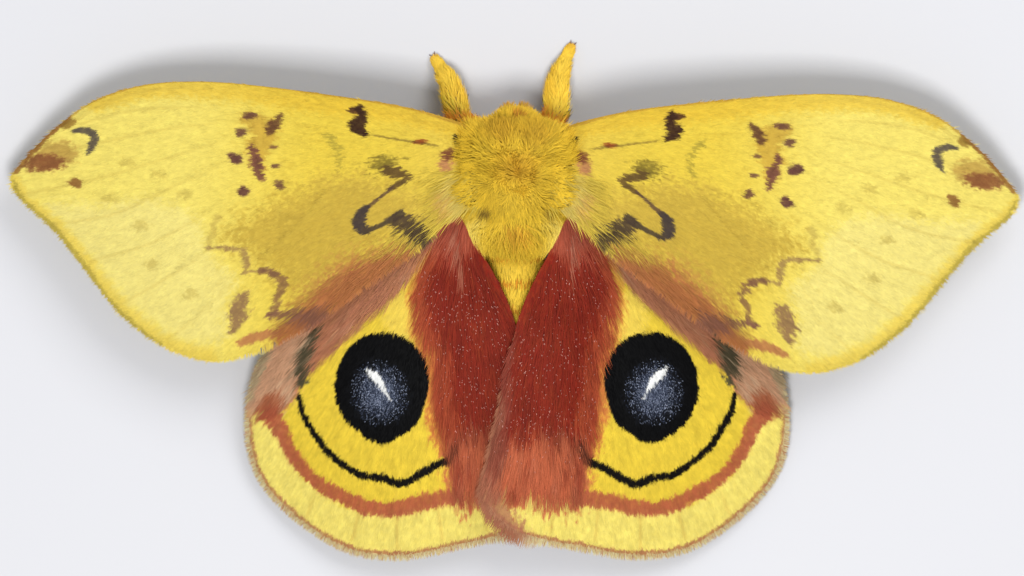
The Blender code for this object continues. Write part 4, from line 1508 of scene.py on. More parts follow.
@dataclass
class Forewing(Wing):
    """A yellow forewing with a zigzag bar, a broken eye mark and a wavy line of brown scales.

    Attributes:
        crown: The wing's highest place, over its root.
        droop: How fast it bends down along x and along y.
        crown_y: Where it is highest.
        tuck: How far the root's front corner dips into the thorax.
        tuck_x: Dipped fully inside the first, and not past the second.
        tuck_y: Not dipped behind the first, and fully ahead of the second.
        golden: The edge of the deep yellow inner half.
        pale: The edge of the pale field behind the tip.
    """

    slot: str = "forewing"
    outline: Sequence[Point] = (
        (3.4, 4.30), (7.5, 5.40), (13.0, 6.17), (18.0, 6.70), (21.5, 6.86), (25.0, 6.58), (28.3, 5.52),
        (31.0, 3.60), (33.0, 1.55), (34.0, 0.05), (33.2, -1.30), (31.0, -3.25), (28.9, -5.75), (26.6, -8.60),
        (23.6, -10.90), (20.6, -11.85), (18.2, -11.55), (14.0, -9.45), (10.0, -6.60), (6.0, -3.60),
        (3.6, -1.60), (1.6, -0.30), (1.3, 3.20))
    veins: Sequence[Sequence[Point]] = (
        ((3.9, 4.15), (8.0, 5.07), (13.0, 5.73), (18.0, 6.25), (23.0, 6.40), (27.0, 5.55), (30.3, 3.75)),
        ((1.6, 2.30), (8.0, 3.50), (13.0, 4.15), (17.4, 4.25)),
        ((13.0, 4.15), (19.0, 5.00), (25.0, 4.95), (29.3, 3.90)),
        ((17.4, 4.25), (23.0, 3.70), (28.0, 2.60), (32.2, 1.50)),
        ((17.4, 3.60), (23.0, 1.80), (28.5, 0.10), (32.9, -0.90)),
        ((17.2, 2.30), (22.5, 0.00), (26.8, -2.10), (30.9, -2.90)),
        ((1.6, 1.40), (8.0, 0.45), (12.5, 0.00), (16.6, 0.40)),
        ((17.4, 4.25), (17.2, 2.30), (16.6, 0.40)),
        ((16.6, 0.40), (20.5, -1.90), (24.5, -4.10), (28.6, -5.40)),
        ((14.8, 0.10), (18.5, -3.20), (22.5, -5.90), (26.3, -8.20)),
        ((12.0, 0.00), (15.5, -3.80), (19.3, -7.20), (23.0, -10.50)),
        ((1.8, 0.50), (7.5, -2.30), (13.0, -6.40), (17.4, -9.80), (18.9, -11.20)))
    grid: Tuple[int, int] = (330, 170)
    reach: Point = (1.7, 33.97)
    crown: float = 8.95
    droop: Point = (0.0050, 0.0125)
    crown_y: float = 2.0
    tuck: float = 1.5
    tuck_x: Point = (2.2, 5.0)
    tuck_y: Point = (0.6, 2.8)
    short_count: int = 50500
    long_count: int = 5200
    lower_count: int = 9500
    long: Pile = Pile(length=1.5, width=0.07, rise=12.0, settle=4.0, sections=2, spread=7.0, clump=1.2,
        root_shade=0.88, uneven=0.05, overhangs=True)

    golden: Sequence[Point] = ((6.0, -1.2), (8.6, 0.6), (12.0, 0.9), (15.5, -0.6), (17.8, -2.0),
        (19.5, -3.0), (19.3, -4.2), (18.0, -4.7), (17.0, -5.9), (15.5, -6.8), (15.5, -9.0), (12.0, -7.4),
        (8.4, -4.2))
    pale: Sequence[Point] = ((21.2, -2.6), (24.0, -1.2), (28.0, -1.6), (31.4, -1.6), (30.4, -3.0),
        (28.2, -5.6), (25.8, -8.3), (23.0, -10.2), (20.8, -10.8), (19.2, -10.3), (19.4, -8.4),
        (18.6, -6.4), (20.6, -4.6))

    def height(self, points: Array) -> Array:
        """The middle surface: highest over the root, and bent down to the tip.

        Args:
            points: Places on the body.

        Returns:
            A height for each.
        """
        arch = self.droop[0] * points[:, 0] ** 2 + self.droop[1] * (points[:, 1] - self.crown_y) ** 2
        tucked = (1.0 - smooth(points[:, 0], *self.tuck_x)) * smooth(points[:, 1], *self.tuck_y)
        return self.crown - arch - self.tuck * tucked

    def hair_lie(self, points: Array) -> Array:
        """Hairs point away from the root and bend back towards the outer margin."""
        x, y = points[:, 0], points[:, 1]
        return unit(np.stack([np.maximum(x, 0.5), y - 3.0 - 0.008 * x * x], 1))

    def hair_length(self, points: Array) -> Array:
        """Long hairs grow at the root and along the hind margin.

        Args:
            points: Places in the wing's own plane.

        Returns:
            A share of the longest for each.
        """
        above = points[:, 1] - self.limits(points[:, 0])[0]
        hind = (1.0 - smooth(above, 0.8, 3.2)) * (1.0 - smooth(points[:, 0], 14.5, 17.0))
        base = (1.0 - smooth(points[:, 0], 4.6, 7.5)) * (1.0 - smooth(points[:, 1], 0.6, 2.0))
        return np.maximum(hind, base)

    def has_fringe(self, flat: Array) -> Array:
        """The costa and the root carry none."""
        return (flat[:, 0] > 2.5) & (flat[:, 1] < np.interp(flat[:, 0], (28.0, 34.0), (-3.0, 0.6)))

    def fringe_length(self, flat: Array) -> Array:
        """Short along the outer margin, and longer behind."""
        return 0.55 + 0.6 * (1.0 - smooth(flat[:, 0], 16.0, 20.0))

    def pattern(self, points: Array, face: Face) -> Array:
        """The wing's colours, with the lower face's own marks.

        Args:
            points: Places in the wing's own plane.
            face: The face that shows.

        Returns:
            An sRGB colour for each.
        """
        paint = Paint(points, self.hair_lie(points), self.comb(points), "#E7CA47")
        x = points[:, 0]
        if face is Face.LOWER:
            return self.lower_pattern(paint)
        paint.blend("#F3DF6F", smooth(x, 12.0, 23.0))
        paint.blend("#E2C44C", 1.0 - smooth(x, 3.0, 10.0))
        paint.lay(*self.ground_marks())
        mottle = noise(points / 1.7, 5) * 0.4 + noise(points / (0.24, 0.12), 6) * 0.6
        paint.blend("#B9962F", 0.22 * smooth(mottle, 0.1, 0.8) * (1.0 - smooth(x, 17.0, 23.0)))
        self.lay_veins(paint)
        paint.lay(*self.upper_marks())
        paint.shade(self.comb(points) * 0.035 + noise(points / 0.25, 9) * 0.02)
        return paint.colour

    def ground_marks(self) -> Sequence[Mark]:
        """The large soft areas and the margins.

        Returns:
            The marks, the lowest first.
        """
        costa, outer = self.outline[:9], ((33.9, 0.0), *self.outline[10:16])
        hind = ((15.6, -10.2), (14.0, -9.35), (12.0, -8.1), (10.0, -6.6), (7.4, -4.7))
        return (
            Field("#D4B548", 0.90, 5.2, 0.2, 0.25, outline=self.golden),
            Field("#9C7A28", 0.22, 5.2, 0.15, 1.0, outline=self.golden),
            Field("#F1E187", 0.80, 3.0, 0.3, outline=self.pale),
            Stroke("#E3BA36", 0.60, 0.95, 0.3, path=costa[:-2], widths=(2.0, 2.6, 2.4, 1.6)),
            Stroke("#A5742F", 0.5, 0.6, 0.05, path=costa, widths=(0.35, 0.2, 0.16, 0.18, 0.26)),
            Stroke("#E4BF40", 0.42, 0.95, 0.3, path=outer, widths=(0.8, 1.3, 1.4, 1.6, 1.4)),
            Stroke("#AC9A42", 0.65, 0.7, 0.12, 0.5, path=outer[:-1], widths=(0.2, 0.42, 0.4, 0.3, 0.15)),
            Stroke("#C08C44", 0.75, 0.95, 1.0, 0.5, path=hind, widths=(1.8, 4.2, 5.2, 4.8, 2.2)),
            Stroke("#B86C44", 0.85, 0.95, 0.9, 0.3, path=hind, widths=(0.8, 2.4, 3.4, 3.2, 1.0)),
            Stroke("#EBD384", 0.45, 0.9, 0.5, 0.2, path=((4.5, 0.5), (4.2, -0.7), (3.5, -1.9)),
                widths=(0.7, 1.4, 1.1)),
            Stroke("#DC9C6C", 0.4, 0.95, 0.5, 0.3, path=((5.2, -0.6), (4.6, -1.6)), widths=(0.7, 0.8)),
        )

    def lay_veins(self, paint: Paint) -> None:
        """Fine olive lines over the outer veins.

        Args:
            paint: What they are laid on.
        """
        far = smooth(paint.points[:, 0], 18.5, 24.0)
        for line in self.vein_lines:
            gap, _ = distance_to_line(paint.points, line)
            paint.blend("#B99C45", 0.22 * far * (1.0 - smooth(gap, 0.03, 0.15)))

    def upper_marks(self) -> Sequence[Mark]:
        """The bar, the eye mark, the wavy lines and the apex.

        Returns:
            The marks, the lowest first.
        """
        blot = "#5E3836"
        zigzag = ((19.9, -2.3), (20.2, -2.75), (20.15, -3.35), (20.55, -4.3), (19.3, -4.35),
            (18.2, -4.46), (17.95, -5.2), (18.0, -5.95), (17.0, -5.76), (16.0, -5.96), (15.4, -6.75),
            (15.8, -7.5), (15.95, -8.35), (16.25, -8.8))
        shadows = ((26.2, 1.35), (23.9, 0.5), (22.2, -0.8), (27.1, -1.1), (25.2, -2.9), (24.3, -5.5),
            (21.7, -7.5))
        return (
            Spot("#5A3A22", 1.0, 0.3, 0.25, at=(10.72, 5.1), half=(0.62, 0.26)),
            Stroke("#3C2519", 1.0, 0.45, 0.22, 0.15, path=((10.5, 5.15), (10.3, 4.55), (10.75, 4.1),
                (10.45, 3.8), (10.05, 3.45)), widths=(0.7, 0.6, 0.85, 1.0, 0.7, 0.25)),
            Stroke("#8E8032", 0.55, 0.6, 0.5, 0.8, path=((12.7, 3.5), (12.2, 2.9), (11.8, 2.2),
                (11.9, 1.2)), widths=(0.3, 0.6, 0.4, 0.3)),
            Stroke("#B5862E", 0.55, 0.8, 0.4, 0.6, path=((18.0, 4.4), (16.9, 3.6), (17.3, 2.2),
                (17.2, 0.9)), widths=(1.2, 2.0, 1.6, 0.8)),
            Spot(blot, 0.85, 0.6, 0.2, 0.25, at=(17.9, 4.6), half=(0.52, 0.24), turn=-6),
            Spot(blot, 0.85, 0.6, 0.2, 0.25, at=(18.4, 3.52), half=(0.38, 0.3)),
            Spot(blot, 0.95, 0.5, 0.2, 0.15, at=(18.85, 1.74), half=(0.52, 0.37), turn=14),
            Spot(blot, 0.95, 0.5, 0.2, 0.15, at=(18.27, -0.48), half=(0.42, 0.36)),
            Spot(blot, 0.85, 0.6, 0.25, 0.25, at=(15.75, 0.0), half=(0.38, 0.32), turn=40),
            Spot(blot, 0.8, 0.4, 0.2, at=(16.1, 1.25), half=(0.28, 0.17)),
            Spot(blot, 0.7, 0.4, 0.2, at=(16.3, 2.53), half=(0.30, 0.14)),
            Stroke("#5E3A2A", 0.9, 0.7, 0.25, 0.4, path=((15.8, 4.65), (16.1, 4.15), (16.6, 3.6)),
                widths=(0.4, 0.75, 0.6)),
            Stroke("#73443E", 0.9, 0.7, 0.25, 0.45, path=((17.65, 2.5), (17.4, 1.5), (17.1, 0.4)),
                widths=(0.45, 0.85, 0.45)),
            Spot("#B5705A", 0.75, 0.9, 0.3, 0.4, at=(4.6, 1.6), half=(0.45, 0.6), turn=20),
            Spot("#74402E", 0.9, 0.75, 0.25, 0.2, at=(4.45, 2.25), half=(0.52, 0.42), turn=-20),
            Spot("#2A221A", 0.95, 0.4, 0.1, at=(4.0, 3.35), half=(0.2, 0.32), turn=-25),
            Spot("#8C3A1E", 0.9, 0.5, 0.2, 0.3, at=(6.4, 3.07), half=(0.5, 0.17), turn=-8),
            Stroke("#5E4A26", 0.5, 0.5, 0.1, 0.9, path=((5.3, 2.85), (7.2, 3.1), (9.6, 3.45)),
                widths=(0.2, 0.12)),
            Spot("#6B5B22", 0.75, 0.8, 0.8, 0.85, at=(8.8, 1.55), half=(1.05, 0.7), turn=-12),
            Stroke("#5C4426", 0.9, 0.6, 0.4, 0.4, path=((8.6, 1.15), (7.9, 0.95), (7.15, 0.72),
                (7.9, 0.15), (8.5, -0.25)), widths=(0.7, 0.75, 0.45, 0.4, 0.2)),
            Stroke("#5E4636", 0.9, 0.5, 0.15, 0.1, path=((8.2, 0.0), (9.2, -0.85), (9.95, -1.5)),
                widths=(0.2, 0.2, 0.35)),
            Stroke("#453A36", 1.0, 0.35, 0.18, path=((9.9, -1.4), (10.35, -2.0), (10.35, -2.7),
                (9.9, -3.0)), widths=(0.4, 0.75, 0.9, 0.55)),
            Stroke("#4E4030", 0.95, 0.5, 0.18, path=((10.0, -3.0), (8.95, -2.6), (8.2, -2.15),
                (7.6, -1.8)), widths=(0.4, 0.3, 0.35, 0.6)),
            Spot("#4A3A2E", 0.92, 0.45, 0.7, 0.15, at=(7.0, -2.75), half=(1.45, 0.7), turn=32),
            Stroke("#A08440", 0.36, 0.9, 0.2, 0.8, path=zigzag[:5], widths=(0.6, 0.4, 0.4, 0.3)),
            Stroke("#86624A", 0.62, 0.85, 0.25, 0.85, path=zigzag[3:10], widths=(0.2, 0.3, 0.5, 0.55,
                0.35, 0.2, 0.55)),
            Stroke("#77503F", 0.75, 0.8, 0.3, 0.6, path=zigzag[8:], widths=(0.4, 0.65, 0.6, 0.45, 0.45, 0.5)),
            Stroke("#84584A", 0.8, 0.8, 0.35, 0.4, path=((16.5, -8.8), (15.2, -8.75), (14.0, -8.9),
                (12.8, -8.5)), widths=(0.3, 0.7, 1.0, 0.9)),
            Stroke("#7C5648", 0.75, 0.85, 0.4, 0.85, path=((18.1, -7.6), (18.45, -8.5), (18.8, -9.8)),
                widths=(0.8, 1.5, 0.6)),
            Stroke("#B5714A", 0.85, 0.7, 0.3, 0.5, path=((18.4, -10.75), (17.2, -10.25), (15.8, -9.9)),
                widths=(0.5, 0.75, 0.6)),
            Spot("#9A6A30", 0.5, 0.7, 0.3, at=(31.0, 1.75), half=(1.5, 0.9), turn=-12),
            Spot("#8A5434", 0.92, 0.6, 0.3, 0.3, at=(31.75, 1.2), half=(1.5, 0.6), turn=-4),
            Stroke("#8E5E30", 0.8, 0.6, 0.1, path=((30.2, 4.25), (31.4, 3.2), (33.0, 1.5), (33.7, 0.6)),
                widths=(0.45, 0.35, 0.45, 0.4)),
            Spot("#8E6A2C", 0.8, 0.6, 0.2, 0.3, at=(30.2, 3.85), half=(0.5, 0.3), turn=-35),
            Stroke("#544A44", 0.92, 0.6, 0.15, 0.25, path=((29.8, 3.38), (29.1, 3.45), (28.5, 3.1),
                (28.5, 2.5), (28.9, 1.8)), widths=(0.25, 0.5, 0.7, 0.6, 0.2)),
            Spot("#8A5C30", 0.9, 0.5, 0.35, 0.2, at=(29.6, -0.15), half=(0.42, 0.40)),
            *(Spot("#A58C3C", 0.36, 1.0, 0.4, 1.0, at=at, half=(0.6, 0.4)) for at in shadows),
        )

    def lower_pattern(self, paint: Paint) -> Array:
        """The lower face: yellow, with a white-centred dark spot and a reddish line.

        Args:
            paint: What it is laid on.

        Returns:
            The sRGB colours.
        """
        x = paint.points[:, 0]
        paint.blend("#EFD873", smooth(x, 12.0, 24.0))
        paint.lay(
            Stroke("#B8735A", 0.7, 0.9, 0.8, 0.2, path=((2.0, -0.6), (8.0, -4.6), (14.0, -9.0),
                (18.0, -11.2)), widths=(2.5, 4.0, 3.6, 1.5)),
            Spot("#3A2A26", 1.0, 0.25, 0.15, at=(17.3, 2.0), half=(1.35, 1.55)),
            Spot("#F0EEE4", 0.95, 0.3, 0.05, at=(17.3, 2.0), half=(0.28, 0.38)),
            Stroke("#A0503A", 0.8, 0.5, 0.3, 0.2, path=((24.6, 6.3), (22.6, 2.0), (20.6, -3.0),
                (17.6, -10.6)), widths=(0.5, 0.6, 0.7, 0.9)))
        paint.shade(self.comb(paint.points) * 0.05)
        return paint.colour


@dataclass
class Hindwing(Wing):
    """A hindwing with a large eyespot, a red field of long hair and rings of black and red.

    Attributes:
        sweep: How far the wing is turned towards the body, in degrees.
        lift: How far its inner part is bent up, where the two wings cross.
        hinge: What it is turned about.
        crown: The wing's highest place.
        droop: How fast it bends down along x and along y.
        crown_y: Where it is highest.
        cross_x: Bent fully inside the first, and not past the second.
        cross_y: Not bent ahead of the first, and fully behind the second.
        fleck_count: How many loose scales are tried.
        fleck: Their form.
        core: The middle of the eyespot's blue-grey dust.
        core_spread: How far the dust spreads.
        core_count: How many scales of dust are tried.
        red_field: The edge of the long red hair.
        costal: The edge of the pinkish front margin.
        eyespot: The edge of the eyespot.
    """

    sweep: float = 0.0
    lift: float = 0.0
    slot: str = "hindwing"
    outline: Sequence[Point] = (
        (3.6, -0.40), (7.5, -2.00), (12.0, -4.80), (15.2, -7.60), (17.4, -10.70), (18.4, -13.30),
        (18.7, -16.00), (18.2, -18.50), (16.6, -20.80), (14.0, -23.00), (11.6, -24.20), (8.5, -24.55),
        (5.0, -24.05), (1.2, -23.30), (-0.8, -22.10), (-1.75, -20.30), (-1.35, -18.00), (-0.60, -14.50),
        (0.0, -10.60), (0.68, -7.90), (1.62, -5.70), (2.5, -3.85), (2.2, -2.30), (2.2, -1.00))
    veins: Sequence[Sequence[Point]] = (
        ((2.4, -1.40), (9.0, -3.90), (14.0, -7.30), (17.3, -11.30)),
        ((2.4, -1.90), (7.0, -6.20), (10.4, -11.70)),
        ((8.3, -8.30), (12.6, -10.60), (16.2, -13.40), (18.2, -15.70)),
        ((10.4, -11.70), (14.6, -15.50), (17.2, -19.00)),
        ((9.9, -12.20), (13.0, -17.20), (15.0, -21.60)),
        ((2.4, -2.50), (5.4, -7.00), (7.4, -11.00), (8.7, -13.90)),
        ((10.4, -11.70), (9.6, -12.60), (8.7, -13.90)),
        ((8.7, -13.90), (10.6, -18.60), (12.0, -23.30)),
        ((8.3, -13.00), (8.8, -18.60), (9.0, -24.00)),
        ((6.7, -9.60), (6.5, -16.50), (5.9, -23.60)),
        ((2.6, -3.00), (4.0, -9.00), (3.7, -16.00), (2.9, -23.00)),
        ((2.5, -3.40), (1.8, -8.00), (1.1, -14.00), (0.1, -21.30)))
    hinge: Point = (3.0, -1.0)
    crown: float = 7.25
    droop: Point = (0.0128, 0.0082)
    crown_y: float = -2.0
    cross_x: Point = (2.6, 6.5)
    cross_y: Point = (4.0, 8.5)
    axis: int = 1
    way: int = -1
    reach: Point = (-0.55, -24.53)
    closer: float = 1.25
    grid: Tuple[int, int] = (250, 200)
    root: Point = (3.0, 1.0)
    comb_radius: float = 14.0
    short_count: int = 36000
    long_count: int = 12500
    lower_count: int = 8200
    fringe_count: int = 4400
    fleck_count: int = 4200
    fleck: Pile = Pile(length=0.12, width=0.045, rise=8.0, settle=0.0, spread=25.0, clump=0.7,
        root_shade=1.0, uneven=0.15)
    core: Point = (9.65, -13.45)
    core_spread: Point = (0.85, 0.95)
    core_count: int = 2300
    red_field: Sequence[Point] = ((3.2, -1.2), (5.4, -3.4), (6.7, -5.6), (6.95, -7.6), (6.6, -9.4),
        (6.05, -11.2), (5.85, -12.6), (5.95, -14.2), (5.7, -16.2), (5.15, -17.6), (5.05, -19.8),
        (4.9, -20.9), (2.6, -21.1), (0.2, -20.8), (-1.9, -20.3), (-1.6, -18.0), (-0.8, -14.5),
        (-0.3, -10.6), (0.2, -7.9), (1.2, -5.6), (2.2, -3.8), (2.0, -2.0))
    costal: Sequence[Point] = ((3.4, -0.2), (7.5, -1.7), (12.3, -4.6), (15.6, -7.4), (17.8, -10.6),
        (18.8, -13.3), (18.6, -14.3), (16.9, -14.7), (15.4, -13.6), (14.9, -12.7), (14.0, -11.6),
        (12.9, -10.8), (11.8, -9.8), (10.5, -8.8), (9.4, -7.9), (8.3, -6.9), (6.9, -5.4), (5.0, -3.2))
    eyespot: Sequence[Point] = ((10.54, -9.62), (9.37, -9.42), (8.09, -9.66), (7.15, -10.32),
        (6.38, -11.45), (6.28, -12.75), (6.58, -14.15), (7.14, -15.5), (8.27, -16.4), (9.78, -16.95),
        (10.85, -16.34), (11.85, -15.5), (12.5, -14.3), (12.68, -12.84), (12.3, -11.4), (11.55, -10.3))

    def on_body(self, points: Array) -> Array:
        """Turn the wing about its hinge.

        Args:
            points: Places in the wing's own plane.

        Returns:
            The places on the body, x still outwards.
        """
        angle = -math.radians(self.sweep)
        turn = np.array([[math.cos(angle), -math.sin(angle)], [math.sin(angle), math.cos(angle)]])
        return (points - self.hinge) @ turn.T + self.hinge

    def height(self, points: Array) -> Array:
        """The middle surface, bent up or down where the two hindwings cross.

        Args:
            points: Places on the body.

        Returns:
            A height for each.
        """
        x, y = points[:, 0], points[:, 1]
        height = self.crown - self.droop[0] * np.maximum(x, 0.0) ** 2
        height = height - self.droop[1] * (y - self.crown_y) ** 2
        crossing = (1.0 - smooth(x, *self.cross_x)) * smooth(-y, *self.cross_y)
        return height + self.lift * crossing

    def hair_lie(self, points: Array) -> Array:
        """Hairs fan out from the root and lean to the inner margin behind."""
        x, y = points[:, 0], points[:, 1]
        return unit(np.stack([x - 3.0 - 0.02 * np.abs(y), np.minimum(y - 0.5, -0.5)], 1))

    def shaggy(self) -> Sequence[Mark]:
        """Where the hair is long."""
        return (Field("#000000", 1.0, 1.4, 0.0, outline=self.red_field),
                Field("#000000", 1.0, 1.0, 0.0, outline=self.costal))

    def hair_length(self, points: Array) -> Array:
        """Long hairs grow on the red field and along the front margin, and are shorter beside the trunk.

        Args:
            points: Places in the wing's own plane.

        Returns:
            A share of the longest for each.
        """
        covers = [mark.cover(points) for mark in self.shaggy()]
        shorter = 1.0 - 0.45 * smooth(points[:, 0], 10.0, 16.0)
        gap = points[:, 0] - self.limits(points[:, 1])[0]
        by_trunk = (1.0 - smooth(gap, 0.1, 1.1)) * (1.0 - smooth(-points[:, 1], 8.5, 10.5))
        shag = np.maximum(covers[0], covers[1] * shorter) * (1.0 - 0.35 * smooth(-points[:, 1], 17.0, 21.0))
        return shag * (1.0 - 0.7 * by_trunk)

    def extra_tufts(self) -> Sequence[Surface]:
        """Grow tiny pinkish scales that lie about on the red field, and blue-grey ones in the eyespot.

        Returns:
            The tufts.
        """
        flat = self.scatter(self.fleck_count)
        back = -flat[:, 1]
        red = self.shaggy()[0].cover(flat) * (1.0 - smooth(back, 15.0, 19.5)) * smooth(back, 3.5, 7.0)
        flat = flat[self.rng.uniform(size=len(flat)) < red * (self.hair_length(flat) > 0.8)]
        eye = np.array(self.core) + self.rng.normal(0.0, 1.0, (self.core_count, 2)) * self.core_spread
        eye = eye[np.linalg.norm((eye - self.core) / self.core_spread, axis=1) < 2.4]
        eye = eye[self.eye_marks()[-1].cover(eye) < 0.25]
        bright = self.rng.uniform(0.0, 1.0, len(eye))[:, None] ** 1.8
        grey = srgb("#2E3548") * (1 - bright) + srgb("#A9B2C8") * bright
        pink = np.tile(srgb("#CF9284"), (len(flat), 1))
        made = []
        for places, colours, proud in ((flat, pink, 0.26), (eye, grey, 0.03)):
            roots = self.roots(places, Face.UPPER, np.ones(len(places)), self.fleck)
            roots.points = roots.points + roots.normals * proud
            roots.colours = colours
            made.append(grow(roots, self.fleck, self.rng))
        return made

    def has_fringe(self, flat: Array) -> Array:
        """The front margin under the forewing carries none."""
        return flat[:, 1] < np.where(flat[:, 0] < 8.0, -8.5, -5.0)

    def fringe_length(self, flat: Array) -> Array:
        """Longest on the inner margin."""
        inner = 1.0 - smooth(flat[:, 0], 0.6, 3.0)
        return 0.95 - 0.65 * inner + 1.9 * inner * smooth(-flat[:, 1], 9.0, 15.0)

    def fringe_lean(self, flat: Array) -> Array:
        """The inner margin's hairs lie back along it."""
        return 0.35 + 3.0 * (1.0 - smooth(flat[:, 0], 0.6, 3.0))

    def fringe_colour(self, flat: Array) -> Array:
        """Pale straw on the outer margin, and pinkish brown on the inner one.

        Args:
            flat: The fringe's roots.

        Returns:
            An sRGB colour for each.
        """
        paint = Paint(flat, self.hair_lie(flat), self.comb(flat), "#D6C998")
        paint.blend("#B98660", (self.rng.uniform(size=len(flat)) < 0.3).astype(float))
        paint.blend("#A5684C", (1.0 - smooth(flat[:, 0], 0.4, 2.0)) * smooth(-flat[:, 1], 4.0, 7.0))
        return paint.colour

    def pattern(self, points: Array, face: Face) -> Array:
        """The wing's colours, with the lower face's own marks.

        Args:
            points: Places in the wing's own plane.
            face: The face that shows.

        Returns:
            An sRGB colour for each.
        """
        paint = Paint(points, self.hair_lie(points), self.comb(points), "#E7C83F")
        if face is Face.LOWER:
            return self.lower_pattern(paint)
        paint.lay(*self.ground_marks())
        for line in self.vein_lines:
            gap, _ = distance_to_line(points, line)
            vein = smooth(-points[:, 1], 19.5, 21.5) * (1.0 - smooth(gap, 0.03, 0.17))
            paint.blend("#C7A24A", 0.35 * vein)
        paint.lay(*self.hair_marks())
        self.streak_hairs(paint)
        paint.lay(*self.ring_marks())
        paint.lay(*self.eye_marks())
        paint.shade(paint.comb * 0.06 + noise(points / 0.25, 19) * 0.03)
        return paint.colour

    def ground_marks(self) -> Sequence[Mark]:
        """The yellow grounds and the outer margin.

        Returns:
            The marks, the lowest first.
        """
        band = ((18.0, -14.6), (17.7, -17.0), (16.6, -19.5), (14.6, -21.4), (12.3, -22.7), (9.6, -23.1),
            (7.0, -22.9), (4.6, -22.5), (2.0, -22.3), (0.0, -21.8), (-1.6, -20.8))
        margin = ((18.7, -14.6), (18.6, -16.6), (18.0, -18.9), (16.5, -20.9), (14.0, -23.0),
            (11.6, -24.2), (8.5, -24.55), (5.0, -24.05), (1.2, -23.3), (-0.8, -22.1), (-1.7, -20.6))
        return (
            Stroke("#F2DF74", 0.95, 0.5, 0.12, path=band, widths=(3.4, 3.2, 3.2)),
            Spot("#EED061", 0.6, 0.8, 0.5, at=(8.0, -8.2), half=(1.2, 2.2), turn=-20),
            Stroke("#AA6A4C", 0.85, 0.6, 0.12, 0.3, path=margin, widths=(0.5, 0.62, 0.66, 0.6)),
            Stroke("#D9CC90", 0.8, 0.6, 0.1, 0.3, path=margin, widths=(0.16, 0.2)),
        )

    def hair_marks(self) -> Sequence[Mark]:
        """The red field and the pinkish front margin.

        Returns:
            The marks, the lowest first.
        """
        edge = ((5.6, -3.6), (6.9, -5.6), (7.2, -7.6), (6.8, -9.4), (6.3, -11.2), (6.1, -12.6),
            (6.15, -14.2), (5.9, -16.2), (5.4, -17.8))
        inner = ((0.1, -9.4), (-0.1, -11.5), (-0.5, -14.5), (-1.2, -18.0), (-1.5, -20.3), (-0.6, -22.1),
            (0.8, -23.2))
        return (
            Field("#BE7A5C", 1.0, 0.9, 0.6, outline=self.costal),
            Field("#E2B18A", 0.85, 1.6, 0.9, outline=((14.6, -8.6), (17.2, -10.2), (18.8, -13.2),
                (18.5, -14.6), (16.4, -14.2), (15.2, -12.6), (14.4, -10.6))),
            Stroke("#A9A07A", 0.7, 0.8, 0.4, path=((15.9, -8.2), (17.6, -10.9), (18.5, -13.4)),
                widths=(0.5, 0.9, 0.6)),
            Stroke("#4C4833", 0.95, 0.65, 0.8, 0.15, path=((13.7, -9.0), (14.3, -10.3), (14.8, -11.4),
                (14.8, -12.7)), widths=(0.6, 1.1, 1.2, 0.5)),
            Spot("#B0603E", 0.9, 0.5, 0.5, 0.2, at=(17.2, -14.2), half=(1.15, 0.85), turn=-50),
            Stroke("#E3A044", 0.68, 0.9, 0.9, 0.3, path=edge, widths=(0.2, 0.5, 1.0, 1.4, 1.5, 1.3, 0.9)),
            Field("#8E2518", 1.0, 0.8, 0.8, outline=self.red_field),
            Stroke("#C4603A", 0.7, 0.95, 1.0, 0.4, path=tuple((x - 0.55, y) for x, y in edge),
                widths=(0.5, 1.1, 1.6, 1.9, 2.0)),
            Field("#D2704A", 0.95, 2.6, 1.5, outline=((5.3, -16.6), (5.0, -20.9), (2.4, -21.3),
                (-2.0, -20.6), (-1.6, -16.9), (1.5, -16.6))),
            Stroke("#7A3A28", 0.45, 0.9, 0.8, 0.3, path=((5.0, -17.3), (3.9, -16.6), (2.2, -16.4)),
                widths=(0.7, 1.2, 0.8)),
            Spot("#CE6C50", 0.85, 0.95, 0.8, at=(3.8, -2.8), half=(1.9, 1.5), turn=-35),
            Stroke("#A24C38", 0.45, 0.9, 0.4, path=((4.2, -2.8), (4.0, -4.2), (3.8, -6.0)), widths=(1.0,
                0.6, 0.2)),
            # painted highlight: a pale pink line where the long hair near the root folds and catches the
            # light
            Stroke("#D19A7C", 0.5, 0.9, 0.2, path=((4.05, -3.2), (3.95, -4.6), (3.8, -6.4)), widths=(0.3,
                0.3, 0.1)),
            Stroke("#964C3C", 0.75, 0.9, 0.8, path=inner[:4], widths=(0.2, 0.8, 1.4, 1.8)),
            Stroke("#AC6E54", 0.8, 0.9, 0.8, path=inner[2:], widths=(0.3, 1.3, 1.9, 2.0, 1.4)),
        )

    def streak_hairs(self, paint: Paint) -> None:
        """Pale hairs in the pink margin, and dark and light ones in the red field.

        Args:
            paint: What they are laid on.
        """
        placed = self.along_hair(paint.points)
        pale = smooth(noise(placed / (1.6, 0.11), 31), 0.25, 0.8)
        red, pink = (mark.cover(paint.points) for mark in self.shaggy())
        paint.blend("#E2BE98", (0.3 + 0.35 * smooth(paint.points[:, 0], 12.5, 15.5)) * pale * pink)
        paint.blend("#701C12", 0.45 * smooth(noise(placed / (2.2, 0.2), 33), 0.1, 0.8) * red)
        paint.blend("#C4795E", 0.35 * pale * red * smooth(-paint.points[:, 1], 14.0, 19.0))

